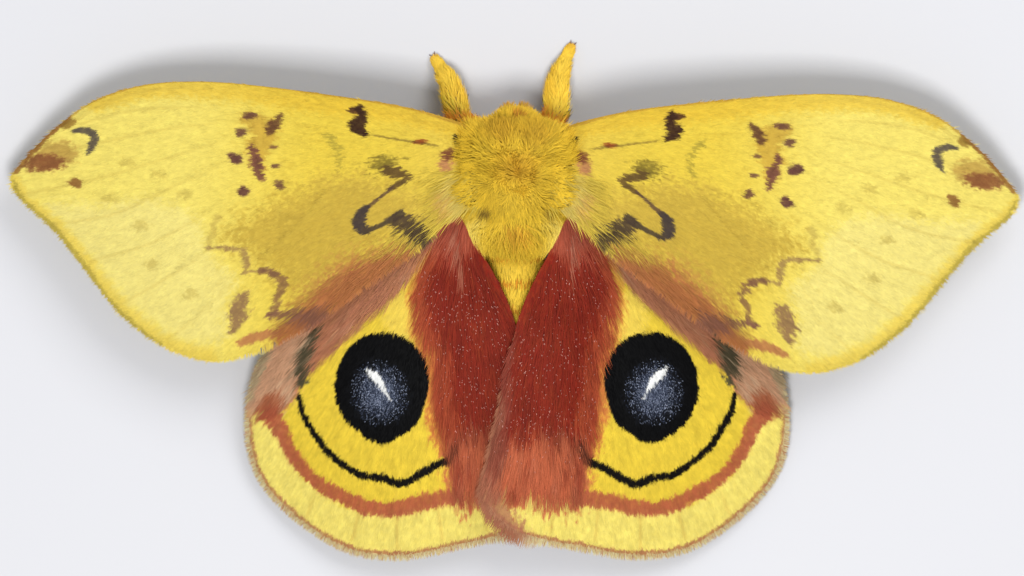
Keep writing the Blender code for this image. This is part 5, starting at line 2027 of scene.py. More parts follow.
    def ring_marks(self) -> Sequence[Mark]:
        """The black arc and the dusty red band.

        Returns:
            The marks, the lowest first.
        """
        arc = ((15.13, -13.5), (14.96, -14.54), (14.31, -15.86), (13.35, -17.32), (12.23, -18.28),
            (10.98, -19.05), (9.69, -19.24), (8.55, -19.68), (7.24, -19.09), (6.31, -18.62),
            (5.39, -18.21))
        band = ((17.2, -14.6), (16.61, -15.4), (16.15, -16.5), (15.5, -17.74), (14.59, -18.94),
            (13.34, -19.91), (12.08, -20.55), (11.07, -21.11), (9.79, -21.36), (8.5, -21.29),
            (7.19, -20.97), (5.9, -20.8), (4.6, -20.6))
        return (
            Stroke("#B05A3E", 0.95, 0.55, 0.16, 0.4, path=band, widths=(1.3, 0.95, 0.9, 1.0, 1.05, 1.15,
                1.2)),
            Stroke("#0E0A07", 1.1, 0.4, 0.12, path=arc, widths=(0.34, 0.44, 0.46, 0.48, 0.5, 0.56, 0.52,
                0.5)),
            Stroke("#3A1E14", 0.75, 0.8, 0.5, 0.2, path=((5.5, -18.3), (4.9, -17.5), (4.3, -16.8)),
                widths=(0.5, 0.5, 0.3)),
        )

    def eye_marks(self) -> Sequence[Mark]:
        """The black eyespot, its blue-grey dust and its white streak.

        Returns:
            The marks, the lowest first.
        """
        streak = ((10.45, -11.85), (9.95, -12.3), (9.45, -13.0), (8.9, -14.0))
        return (
            Field("#030304", 1.3, 0.16, 0.16, outline=self.eyespot),
            Spot("#232834", 0.85, 0.95, 0.1, 0.2, at=self.core, half=(1.7, 1.95)),
            Spot("#3C4558", 0.6, 0.95, 0.1, 0.3, at=self.core, half=(1.0, 1.15)),
            Stroke("#8A90A0", 0.6, 0.9, 0.1, 0.8, path=streak, widths=(0.3, 0.7, 0.5, 0.2)),
            Stroke("#F6F6F2", 1.1, 0.5, 0.14, path=streak, widths=(0.22, 0.62, 0.5, 0.22, 0.05)),
        )

    def lower_pattern(self, paint: Paint) -> Array:
        """The lower face: pinkish at the inner margin, with a small white spot and a reddish line.

        Args:
            paint: What it is laid on.

        Returns:
            The sRGB colours.
        """
        paint.blend("#DDA27C", 1.0 - smooth(paint.points[:, 0], 1.0, 8.0))
        paint.lay(
            Spot("#5A4034", 0.7, 0.5, 0.15, at=(9.6, -13.2), half=(0.8, 0.9)),
            Spot("#F0EEE4", 0.95, 0.35, 0.05, at=(9.6, -13.2), half=(0.32, 0.36)),
            Stroke("#A85A40", 0.75, 0.6, 0.3, 0.2, path=((17.6, -14.6), (14.2, -18.6), (9.4, -20.8),
                (2.0, -20.2)), widths=(0.6, 0.7, 0.7)))
        paint.shade(paint.comb * 0.05)
        return paint.colour


# Trunk

@dataclass(frozen=True)
class TrunkPile:
    """One piece of the trunk's coat.

    Attributes:
        name: The piece's name.
        slot: The record's material slot; not used.
        area: True for the parts of the skin that it grows from.
        count: How many tufts it has.
        form: Their form.
        clear: What keeps them out of the wings.
    """

    name: str
    slot: str
    area: Array
    count: int
    form: Pile
    clear: Optional[Callable[[Array], Array]] = None


@dataclass
class Trunk:
    """The head, thorax and abdomen under one skin, with the thick pile on them.

    Attributes:
        frame: Where the moth stands.
        skin_finish: The skin's material.
        hair_finish: The tufts' material.
        wing_tops: The height over which the pile has to pass at the wings' roots.
        seed: Its own random numbers.
        lumps: The rounded masses of thorax and head, each a centre and half sizes.
        abdomen_front: Where the abdomen's middle line starts.
        abdomen_tilt: How far it falls towards the tip, in degrees.
        abdomen_length: How long it is.
        abdomen_radii: Its radius at even steps.
        ring_depth: How deep the grooves between its rings are.
        rings: How many rings it has.
        voxel: The grid on which the masses are fused.
        middle_height: What the skin's unwrap turns about.
        eye_hollow: Where no pile grows, a centre and a radius.
        taper: How far out the pile may reach: places along y, and the reach at each.
        palp: What a palp's middle line goes through.
        palp_radii: Its radius at its start, middle and tip.
        thorax_pile: The form of the thorax's pile.
        head_pile: The form of the head's.
        abdomen_pile: The form of the abdomen's.
    """

    frame: BodyFrame
    skin_finish: bpy.types.Material
    hair_finish: bpy.types.Material
    wing_tops: Callable[[Array], Array]
    seed: int = 400
    lumps: Sequence[Tuple[Place, Place]] = (
        ((0.0, 0.20, 6.75), (3.15, 2.90, 3.30)), ((0.0, 2.45, 6.65), (3.20, 1.85, 2.80)),
        ((0.0, -1.80, 6.35), (2.60, 1.65, 2.75)), ((0.0, -3.30, 5.30), (2.00, 1.70, 1.45)),
        ((0.0, 3.40, 6.00), (1.75, 1.30, 1.70)), ((1.75, 3.20, 6.70), (1.35, 1.15, 1.35)),
        ((-1.75, 3.20, 6.70), (1.35, 1.15, 1.35)),
        ((0.0, 4.10, 5.70), (1.55, 1.05, 1.55)))
    abdomen_front: Place = (0.0, -2.60, 4.10)
    abdomen_tilt: float = 8.5
    abdomen_length: float = 14.3
    abdomen_radii: Sequence[float] = (1.80, 2.10, 2.10, 1.98, 1.78, 1.54, 1.26, 0.92, 0.35)
    ring_depth: float = 0.10
    rings: int = 8
    voxel: float = 0.19
    middle_height: float = 5.5
    eye_hollow: Tuple[Place, float] = ((1.65, 4.15, 5.00), 0.80)
    taper: Tuple[Sequence[float], Sequence[float]] = ((-6.6, -5.6, -4.7, -3.8, -2.1, -0.6), (0.7, 1.3,
        1.9, 2.6, 3.3, 9.0))
    palp: Sequence[Place] = ((0.45, 4.75, 4.70), (0.50, 5.25, 4.30), (0.48, 5.45, 3.70))
    palp_radii: Place = (0.34, 0.32, 0.15)
    # The gains below paint the hair brighter as painted light: on the thorax for the shade hairs cast on one
    # another, on the head and the abdomen also for the shade of the thorax and the wings.
    thorax_pile: Pile = Pile(length=1.25, width=0.078, rise=46.0, settle=24.0, sections=2, spread=20.0,
        clump=0.5, root_shade=0.88, uneven=0.08, gain=1.5, even=0.8, reach=(0.5, 1.35), level=0.45)
    head_pile: Pile = Pile(length=1.0, width=0.08, rise=46.0, settle=24.0, sections=2, spread=20.0,
        clump=0.6, root_shade=0.86, uneven=0.08, gain=1.9, even=0.75, level=0.4)
    abdomen_pile: Pile = Pile(length=0.8, width=0.09, rise=24.0, settle=8.0, sections=2, spread=9.0,
        clump=0.8, root_shade=0.9, uneven=0.06, gain=1.75, even=0.8)

    def skin(self) -> Surface:
        """Fuse the rounded masses into one smooth closed skin.

        Returns:
            The skin in the moth's millimetres.
        """
        parts = [ball(centre, half, 17, 32) for centre, half in self.lumps]
        shares = np.linspace(0.0, 1.0, 96)
        radii = np.interp(shares, np.linspace(0.0, 1.0, len(self.abdomen_radii)), self.abdomen_radii)
        radii = radii - self.ring_depth * (1.0 - np.abs(np.sin(shares * self.rings * np.pi)) ** 0.35)
        angle = math.radians(self.abdomen_tilt)
        path = np.array(self.abdomen_front) - np.outer(shares * self.abdomen_length,
                                                       [0.0, math.cos(angle), math.sin(angle)])
        parts.append(tube(path, np.maximum(radii, 0.12), 36))
        for side in Side:
            line = spline([(x * side.value, y, z) for x, y, z in self.palp], 0.15)
            parts.append(tube(line, np.interp(line_shares(line), (0, 0.5, 1), self.palp_radii), 16))
        for part in parts:
            part.maps = {}
        return self.fused(merged(parts))

    def fused(self, raw: Surface) -> Surface:
        """Fuse overlapping closed shapes on a fine grid, and smooth the joins.

        Args:
            raw: The shapes as one surface.

        Returns:
            One closed surface.
        """
        mesh = bpy.data.meshes.new("trunk_parts")
        faces = [tuple(int(i) for i in f) for kind in raw.faces for f in kind]
        mesh.from_pydata([tuple(p) for p in raw.points], [], faces)
        obj = bpy.data.objects.new("trunk_parts", mesh)
        bpy.context.scene.collection.objects.link(obj)
        remesh = obj.modifiers.new("Remesh", "REMESH")
        remesh.mode = "VOXEL"
        remesh.voxel_size = self.voxel
        relax = obj.modifiers.new("Smooth", "SMOOTH")
        relax.factor, relax.iterations = 0.5, 3
        made = bpy.data.meshes.new_from_object(obj.evaluated_get(bpy.context.evaluated_depsgraph_get()))
        points = np.zeros(len(made.vertices) * 3, np.float32)
        made.vertices.foreach_get("co", points)
        corners = np.zeros(len(made.loops), np.int32)
        made.loops.foreach_get("vertex_index", corners)
        sizes = np.zeros(len(made.polygons), np.int32)
        made.polygons.foreach_get("loop_total", sizes)
        bpy.data.objects.remove(obj)
        bpy.data.meshes.remove(made)
        starts = np.cumsum(sizes) - sizes
        faces = [corners[starts[sizes == n][:, None] + np.arange(n)] for n in (3, 4) if (sizes == n).any()]
        return Surface(points.reshape(-1, 3).astype(float), faces)

    def is_abdomen(self, points: Array) -> Array:
        """True behind and below the thorax."""
        return (points[:, 1] < -3.2) & (points[:, 2] < 6.9)

    def is_head(self, points: Array) -> Array:
        """True ahead of the collar."""
        return (points[:, 1] > 3.35) & (points[:, 2] < 7.6)

    def pattern(self, points: Array) -> Array:
        """The trunk's sRGB colours.

        Args:
            points: Places on the skin.

        Returns:
            A colour for each.
        """
        flat = points[:, :2]
        y, z = points[:, 1], points[:, 2]
        lie = np.tile([0.0, -1.0], (len(points), 1))
        paint = Paint(flat, lie, noise(flat / (0.12, 0.7), 51), "#CDA92F")
        # painted light: a lighter yellow towards the front of the thorax and over the head, whose slope faces
        # away from the key light
        paint.blend("#D6AE33", smooth(y, 2.6, 4.6))
        paint.blend("#BD9A2A", 0.6 * smooth(noise(flat / 1.1, 52), 0.0, 0.9))
        paint.blend("#ECCF5E", smooth(-y, 1.3, 2.6) * smooth(np.abs(points[:, 0]), 1.3, 2.4))
        upper = (z > 6.2).astype(float)
        for mark in self.marks():
            paint.blend(mark.colour, mark.strength * mark.cover(flat) * upper)
        paint.blend("#B8804E", 0.75 * (1.0 - smooth(z, 3.4, 6.2)) * (y > -3.2))
        behind = self.is_abdomen(points)
        segment = (-y - 2.8) / (self.abdomen_length / self.rings) % 1.0
        ring = 1.0 - smooth(np.minimum(segment, 1.0 - segment), 0.05, 0.15)
        paint.blend("#D8B43A", behind.astype(float))
        paint.blend("#BE7A20", 0.9 * ring * behind)
        paint.blend("#C08A5A", 0.8 * (1.0 - smooth(z, 1.6, 4.2)) * behind)
        paint.shade(noise(flat / 0.4, 54) * 0.06)
        return paint.colour

    def marks(self) -> Sequence[Mark]:
        """Flecks of darker hair on the thorax.

        Returns:
            The marks, the lowest first.
        """
        return (
            Spot("#A8741F", 0.42, 0.9, at=(0.15, 1.4), half=(1.1, 0.9)),
            Spot("#A87A22", 0.5, 0.9, at=(-0.9, 3.9), half=(1.0, 0.7)),
            Spot("#A87A22", 0.4, 0.9, at=(1.3, 3.7), half=(0.9, 0.7)),
            Spot("#6A5220", 0.9, 0.7, at=(-1.85, -1.5), half=(0.36, 0.30)),
            Spot("#7A6024", 0.6, 0.8, at=(2.1, -1.55), half=(0.30, 0.30)),
            Spot("#8A4A1A", 0.8, 0.8, at=(0.05, 4.9), half=(0.35, 0.25)),
            Spot("#B5761E", 0.6, 0.9, at=(0.1, -3.0), half=(0.5, 0.4)),
        )

    def lie(self, points: Array, normals: Array) -> Array:
        """The way the pile lies: away from the thorax's crown, where it stands, and back along the abdomen.

        Args:
            points: Places on the skin.
            normals: Its direction there.

        Returns:
            A direction along the skin for each, shorter where the pile stands up.
        """
        x, y, z = points.T
        away = np.stack([x * 1.1, np.where(y > 1.6, 1.7, 1.0) * (y - 1.6)], 1)
        away = away / (np.linalg.norm(away, axis=1, keepdims=True) + 2.6)
        stray = np.stack([noise(points[:, :2] / 0.6, 61), noise(points[:, :2] / 0.6, 62)], 1) * 0.5
        inwards = -0.42 * x * smooth(-y, 1.6, 3.2)
        away = away + stray + np.stack([inwards, -0.9 * smooth(-y, 0.6, 2.4)], 1)
        thorax = np.column_stack([away, -0.25 * (z < 8.8) - 0.5 * smooth(-y, 1.2, 2.6)])
        flank = np.stack([np.sign(x) * 0.3, np.full_like(x, -0.5), np.full_like(x, -1.0)], 1)
        thorax = np.where((z < 6.4)[:, None], flank, thorax)
        head = np.stack([x * 0.4, np.full_like(x, 0.7), np.full_like(x, -0.5)], 1)
        angle = math.radians(self.abdomen_tilt)
        back = np.tile([0.0, -math.cos(angle), -math.sin(angle)], (len(points), 1))
        lie = np.where(self.is_head(points)[:, None], head, thorax)
        lie = np.where(self.is_abdomen(points)[:, None], back, lie)
        lie = lie - normals * (lie * normals).sum(1)[:, None]
        return lie / np.maximum(np.linalg.norm(lie, axis=1, keepdims=True), 1.0)

    def clear(self, points: Array) -> Array:
        """Lift the points of tufts over the wings' roots, and draw them in to the trunk's own outline.

        Args:
            points: The points of the tufts' middle lines.

        Returns:
            The moved points.
        """
        lifted = points.copy()
        top = self.wing_tops(points)
        off = np.abs(points[:, 0])
        share = smooth(off, 1.5, 3.0) * smooth(4.5 + 0.25 * (off - 1.3) - points[:, 1], 0.0, 0.8)
        share = share * smooth(points[:, 2] - top, -1.9, -1.0)
        lifted[:, 2] += share * np.maximum(top + 0.10 - points[:, 2], 0.0)
        reach = np.interp(points[:, 1], *self.taper)
        wide = np.abs(points[:, 0]) / reach
        lifted[:, 0] = np.where(wide > 1.0, points[:, 0] / np.maximum(wide, 1.0) ** 0.85, points[:, 0])
        return lifted

    def piles(self, points: Array) -> Sequence["TrunkPile"]:
        """The trunk's piles, with the skin each one grows from.

        Args:
            points: Places on the skin.

        Returns:
            The piles.
        """
        abdomen, head, right = self.is_abdomen(points), self.is_head(points), points[:, 0] > 0.0
        thorax = ~(abdomen | head)
        return (TrunkPile("thorax_pile_left", "coat", thorax & ~right, 15500, self.thorax_pile, self.clear),
                TrunkPile("thorax_pile_right", "coat", thorax & right, 15500, self.thorax_pile, self.clear),
                TrunkPile("head_pile", "coat", head, 4600, self.head_pile),
                TrunkPile("abdomen_pile", "abdomen", abdomen, 7800, self.abdomen_pile))

    def grown(self, skin: Surface, rng: np.random.Generator) -> None:
        """Grow every pile from roots spread evenly over its part of the skin.

        Args:
            skin: The trunk's skin.
            rng: The seeded random numbers.
        """
        triangles = np.vstack([f[:, [0, k, k + 1]] for f in skin.faces for k in range(1, f.shape[1] - 1)])
        a, b, c = (skin.points[triangles[:, k]] for k in range(3))
        cross = np.cross(b - a, c - a)
        area = np.linalg.norm(cross, axis=1) / 2
        middle = (a + b + c) / 3
        for pile in self.piles(middle):
            weight = area * pile.area * self.not_in_eye(middle)
            picked = rng.choice(len(area), pile.count, p=weight / weight.sum())
            u, v = rng.uniform(size=(2, pile.count))
            fold = u + v > 1.0
            u, v = np.where(fold, 1 - u, u)[:, None], np.where(fold, 1 - v, v)[:, None]
            points = a[picked] + (b - a)[picked] * u + (c - a)[picked] * v
            normals = unit(cross[picked])
            turn = self.turn(points) / (2 * np.pi) + 0.5
            places = np.stack([turn, (points[:, 1] + 17.5) / 24.0], 1)
            lie, longer = self.lie(points, normals), self.longer(points)
            middles = points + (lie + normals * 0.5) * (longer * pile.form.length * 0.4)[:, None]
            roots = Roots(points, normals, lie, self.pattern(middles), places, longer)
            coat = grow(roots, pile.form, rng, pile.clear)
            show(coat.build(pile.name, self.frame, self.hair_finish))

    def turn(self, points: Array) -> Array:
        """How far round the trunk's middle each point is, from -pi to pi."""
        return np.arctan2(points[:, 0], points[:, 2] - self.middle_height)

    def not_in_eye(self, points: Array) -> Array:
        """Leave out the skin that an eye covers.

        Args:
            points: Places on the skin.

        Returns:
            False for each that is covered.
        """
        centre, radius = self.eye_hollow
        away = np.linalg.norm(np.abs(points) * [1, 0, 0] + points * [0, 1, 1] - centre, axis=1)
        return away > radius + 0.12

    def longer(self, points: Array) -> Array:
        """Longer pile on the shoulders and the rear tufts, shorter on the crown and the belly.

        Args:
            points: Places on the skin.

        Returns:
            A factor on each tuft's length.
        """
        x, y, z = points.T
        rear = smooth(-y, 1.2, 2.4) * (z > 6.6) * (y > -3.6)
        flank = smooth(np.abs(x), 2.2, 3.0) * (z > 6.0)
        crown = smooth(z, 8.0, 9.4) * (y > -2.0)
        return (1.0 + 0.45 * rear + 0.7 * flank - 0.3 * crown) * (1.0 - 0.4 * (1.0 - smooth(z, 3.5, 6.0)))

    def make(self) -> None:
        """Build the skin and the four piles, and fix them to the body."""
        rng = np.random.default_rng(self.seed)
        skin = self.skin()
        skin.colours = linear(self.pattern(skin.points) * 0.9)
        skin.maps = {HAIR_MAP: np.stack([-skin.points[:, 1], self.turn(skin.points) * 3.0], 1)}
        show(skin.build("trunk_skin", self.frame, self.skin_finish), ["thorax", "head", "abdomen"])
        self.grown(skin, rng)


# Limbs, feelers and eyes

@dataclass
class Eye:
    """A round compound eye at the side of the head.

    Attributes:
        side: The moth's own left or right.
        frame: Where the moth stands.
        finish: The cornea's material.
        centre: The eye's middle, x outwards.
        half: Its half sizes.
        rings: How many rings of facets it is built from.
    """

    side: Side
    frame: BodyFrame
    finish: bpy.types.Material
    centre: Place = (1.65, 4.15, 5.00)
    half: Place = (0.82, 0.84, 0.88)
    rings: int = 28

    def make(self) -> None:
        """Build the eye and fix it to the body."""
        x, y, z = self.centre
        surface = ball((x * self.side.value, y, z), self.half, self.rings - 2, 2 * self.rings)
        eye = surface.build(f"compound_eye_{self.side.label}", self.frame, self.finish)
        show(eye, [f"eye_{self.side.label}"])


@dataclass
class Antenna:
    """A broad comb of branches, folded back below the forewing.

    Attributes:
        side: The moth's own left or right.
        frame: Where the moth stands.
        finish: The comb's material.
        seed: Its own random numbers.
        path: What the shaft goes through, x outwards.
        shaft: The shaft's radius at its start and its tip.
        pairs: How many pairs of branches it has.
        first: How far along the shaft the first pair is, as a share.
        lengths: The branches' length at even steps from the first pair to the last.
        sweep: How far they stand off the shaft, in degrees.
        branch: A branch's radius at its start and its tip.
        cilia: How many fine hairs a branch has.
        colour: The comb's colour.
        hair_colour: The fine hairs' colour.
        cilium: Their form.
    """

    side: Side
    frame: BodyFrame
    finish: bpy.types.Material
    seed: int = 600
    path: Sequence[Place] = ((0.95, 4.1, 6.85), (2.4, 3.95, 7.05), (4.1, 3.05, 7.15), (6.1, 1.95, 7.15),
        (8.2, 0.75, 7.05), (10.2, -0.45, 6.85))
    shaft: Point = (0.24, 0.09)
    pairs: int = 27
    first: float = 0.12
    lengths: Sequence[float] = (0.5, 1.7, 2.1, 2.1, 1.7, 1.0, 0.4)
    sweep: float = 56.0
    branch: Point = (0.06, 0.025)
    cilia: int = 14
    colour: str = "#C9973F"
    hair_colour: str = "#D8AE5E"
    cilium: Pile = Pile(length=0.26, width=0.03, rise=60.0, settle=40.0, spread=15.0)

    def make(self) -> None:
        """Build the shaft with its branches and fine hairs, and fix it to the body."""
        rng = np.random.default_rng(self.seed)
        path = spline([(x * self.side.value, y, z) for x, y, z in self.path], 0.25)
        shares = line_shares(path)
        radii = np.interp(shares, (0, 1), self.shaft) * (1 + 0.10 * np.sin(shares * self.pairs * 2 * np.pi))
        parts = [tube(path, radii, 10)]
        ahead = unit(np.gradient(path, axis=0))
        across, up = square_to(ahead, UPRIGHT)
        bend = np.linspace(0.0, 1.0, 7)[:, None]
        roots = []
        for k in range(self.pairs):
            share = self.first + (0.98 - self.first) * k / (self.pairs - 1)
            at = int(round(share * (len(path) - 1)))
            length = np.interp(share, np.linspace(self.first, 1, len(self.lengths)), self.lengths)
            for hand in (-1, 1):
                angle = math.radians(self.sweep + rng.uniform(-4, 4))
                out = ahead[at] * math.cos(angle) + across[at] * hand * math.sin(angle)
                curl = (ahead[at] * 0.16 - up[at] * 0.14) * length
                line = path[at] + out * length * bend + curl * bend ** 2
                parts.append(tube(line, np.linspace(*self.branch, len(bend)), 5))
                points = on_line(line, bend[:, 0], rng.uniform(0.1, 1.0, self.cilia))
                normals = unit(np.outer(rng.choice([-1.0, 1.0], self.cilia), ahead[at]) + up[at] * 0.3)
                roots.append((points, normals, np.tile(out, (self.cilia, 1))))
        points, normals, lie = (np.vstack([r[k] for r in roots]) for k in range(3))
        lie = unit(lie - normals * (lie * normals).sum(1)[:, None])
        comb = merged(parts)
        comb.colours = np.tile(linear(self.colour), (len(comb.points), 1))
        show(comb.build(f"antenna_{self.side.label}_comb", self.frame, self.finish),
             [f"antenna_{self.side.label}"])
        count = len(points)
        places = np.stack([np.linspace(0, 1, count), np.tile([0.3, 0.7], count // 2 + 1)[:count]], 1)
        colours = np.tile(srgb(self.hair_colour), (count, 1))
        hairs = Roots(points, normals, lie, colours, places, np.ones(count))
        show(grow(hairs, self.cilium, rng).build(f"antenna_{self.side.label}_cilia", self.frame, self.finish))


@dataclass
class Leg:
    """One jointed leg: bare cuticle, under a coat that is shaggy along the shank.

    Attributes:
        pair: Front, middle or hind.
        side: The moth's own left or right.
        frame: Where the moth stands.
        cuticle: The leg's own finish.
        claw_cuticle: The claws' finish.
        hairs: The finish of the coat.
        joints: Hip, knee, ankle and foot, with places between them, x outwards.
        radii: The leg's radius at each.
        seed: Its own random numbers.
        hair_count: How many tufts it has.
        hair_colour: The coat's colour.
        foot_colour: The coat's colour at the foot.
        pile: The tufts' form.
        claw: How long a claw is, and its radius at the root.
        claw_spread: How far the two claws are turned apart, in degrees each.
    """

    pair: str
    side: Side
    frame: BodyFrame
    cuticle: bpy.types.Material
    claw_cuticle: bpy.types.Material
    hairs: bpy.types.Material
    joints: Sequence[Place]
    radii: Sequence[float]
    seed: int
    hair_count: int = 1500
    hair_colour: str = "#B5714F"
    foot_colour: str = "#9C5A3E"
    pile: Pile = Pile(length=1.0, width=0.075, rise=26.0, settle=6.0, sections=2, spread=13.0, clump=0.5,
        root_shade=0.72)
    claw: Point = (0.55, 0.085)
    claw_spread: float = 24.0

    def make(self) -> None:
        """Build the leg, its claws and its coat, and fix them to the body."""
        rng = np.random.default_rng(self.seed)
        joints = np.array(self.joints) * (self.side.value, 1, 1)
        path, radii = self.line(joints)
        leg, claws = tube(path, radii, 14), self.claws(joints)
        for part in (leg, claws):
            part.points[:, 2] = np.maximum(part.points[:, 2], 0.0)
        name = f"leg_{self.pair}_{self.side.label}"
        show(leg.build(f"{name}_cuticle", self.frame, self.cuticle), [name])
        show(claws.build(f"{name}_claws", self.frame, self.claw_cuticle))
        roots = self.roots(path, radii, rng)
        coat = grow(roots, self.pile, rng, lambda points: np.maximum(points, [-99.0, -99.0, 0.03]))
        show(coat.build(f"{name}_coat", self.frame, self.hairs))

    def claws(self, joints: Array) -> Surface:
        """Bend two claws out from the foot and down to the floor.

        Args:
            joints: The leg's joints, the foot last.

        Returns:
            Both claws.
        """
        ahead = unit(joints[-1] - joints[-2])
        share = np.linspace(0.0, 1.0, 8)[:, None]
        made = []
        for hand in (-1, 1):
            angle = math.radians(self.claw_spread * hand)
            out = np.array([ahead[0] * math.cos(angle) - ahead[1] * math.sin(angle),
                            ahead[0] * math.sin(angle) + ahead[1] * math.cos(angle), 0.0])
            line = joints[-1] + out * self.claw[0] * share + UPRIGHT * 0.12 * np.sin(share * np.pi)
            line[:, 2] = np.maximum(line[:, 2] - 0.10 * share[:, 0], 0.05)
            made.append(tube(line, np.linspace(self.claw[1], 0.02, len(share)), 8))
        return merged(made)

    def line(self, joints: Array) -> Tuple[Array, Array]:
        """The leg's middle line, with a slight swelling between joints.

        Args:
            joints: The joints' places.

        Returns:
            The line's points and the radius at each.
        """
        points, radii = [], []
        shares = np.linspace(0.0, 1.0, 14)[:-1]
        for k in range(len(joints) - 1):
            points.append(joints[k] + (joints[k + 1] - joints[k]) * shares[:, None])
            size = self.radii[k] + (self.radii[k + 1] - self.radii[k]) * shares
            radii.append(size * (0.88 + 0.24 * np.sin(np.pi * np.clip(shares * 1.1, 0, 1)) ** 0.8))
        points.append(joints[-1:])
        radii.append(np.array([self.radii[-1] * 0.7]))
        return np.vstack(points), np.concatenate(radii)

    def roots(self, path: Array, radii: Array, rng: np.random.Generator) -> Roots:
        """Hair roots all round the leg, closest on the shank.

        Args:
            path: The middle line.
            radii: The radius along it.
            rng: The seeded random numbers.

        Returns:
            The roots, which lie towards the foot.
        """
        steps = (len(path) - 1) / (len(self.joints) - 1)
        along = np.sort(rng.uniform(0.4 * steps, len(path) - 1.2, self.hair_count))
        index = np.arange(len(path))
        centre = on_line(path, index, along)
        ahead = unit(on_line(np.gradient(path, axis=0), index, along))
        across, up = square_to(ahead, ASKEW)
        turn = rng.uniform(0, 2 * np.pi, len(along))[:, None]
        normals = across * np.cos(turn) + up * np.sin(turn)
        points = centre + normals * np.interp(along, index, radii)[:, None]
        joint = along / steps
        longer = np.interp(joint, (0, 1, 2, 2.4, 3, 3.6, 5), self.shag())
        colours = self.colours(points + ahead * (longer * self.pile.length * 0.5)[:, None], joint)
        places = np.stack([along / len(path), turn[:, 0] / (2 * np.pi)], 1)
        return Roots(points, normals, ahead, colours, places, longer)

    def shag(self) -> Sequence[float]:
        """The coat's length at joints along the leg, as a factor."""
        return (0.5, 0.7, 0.9, 1.0, 0.7, 0.4, 0.22)

    def colours(self, points: Array, joint: Array) -> Array:
        """The coat's sRGB colour at the roots.

        Args:
            points: The roots.
            joint: How many joints along the leg each is.

        Returns:
            The colours.
        """
        share = smooth(joint, 2.6, 4.0)[:, None]
        return srgb(self.hair_colour) * (1 - share) + srgb(self.foot_colour) * share


@dataclass
class Foreleg(Leg):
    """A front leg, stretched out ahead of the head, with a thick yellow coat and an orange knee.

    Attributes:
        band_y: Where the orange band at the knee ends, as places on a line across the leg.
    """

    hair_count: int = 4300
    # The gain paints the hair brighter as painted light, for the shade hairs cast on one another and the
    # forewings' shadow over the forelegs.
    pile: Pile = Pile(length=0.85, width=0.085, rise=34.0, settle=9.0, sections=2, clump=0.5,
        root_shade=0.95, uneven=0.07, gain=1.62, even=0.9, level=0.7)
    band_y: Sequence[Point] = ((0.0, 5.0), (1.0, 5.0))

    def shag(self) -> Sequence[float]:
        """Longest just past the knee."""
        return (0.5, 0.9, 1.4, 1.35, 1.15, 0.75, 0.45)

    def colours(self, points: Array, joint: Array) -> Array:
        """Yellow, with an orange-brown band at the knee.

        Args:
            points: The roots.
            joint: How many joints along the leg each is.

        Returns:
            The colours.
        """
        x = points[:, 0] * self.side.value
        line = np.interp(x, [p[0] for p in self.band_y], [p[1] for p in self.band_y])
        off = points[:, 1] - line
        flat = points[:, :2]
        paint = Paint(flat, np.tile([0.0, 1.0], (len(points), 1)), noise(flat / 0.15, 81), "#DBB63E")
        paint.blend("#C99F2E", smooth(noise(flat / 0.5, 82), 0.0, 0.8) * 0.6)
        paint.blend("#C47A2C", (1.0 - smooth(off, -0.15, 0.15)) * 0.9)
        paint.blend("#A0623A", (1.0 - smooth(off, -1.8, -1.0)) * 0.8)
        # painted light: the leg is painted lighter from its base to just past the knee, where it lies in the
        # forewing's shadow
        paint.shade(0.16 * (1.0 - smooth(off, 0.6, 2.6)))
        paint.blend("#C9973A", smooth(joint, 4.4, 4.9) * 0.5)
        return paint.colour


# Studio

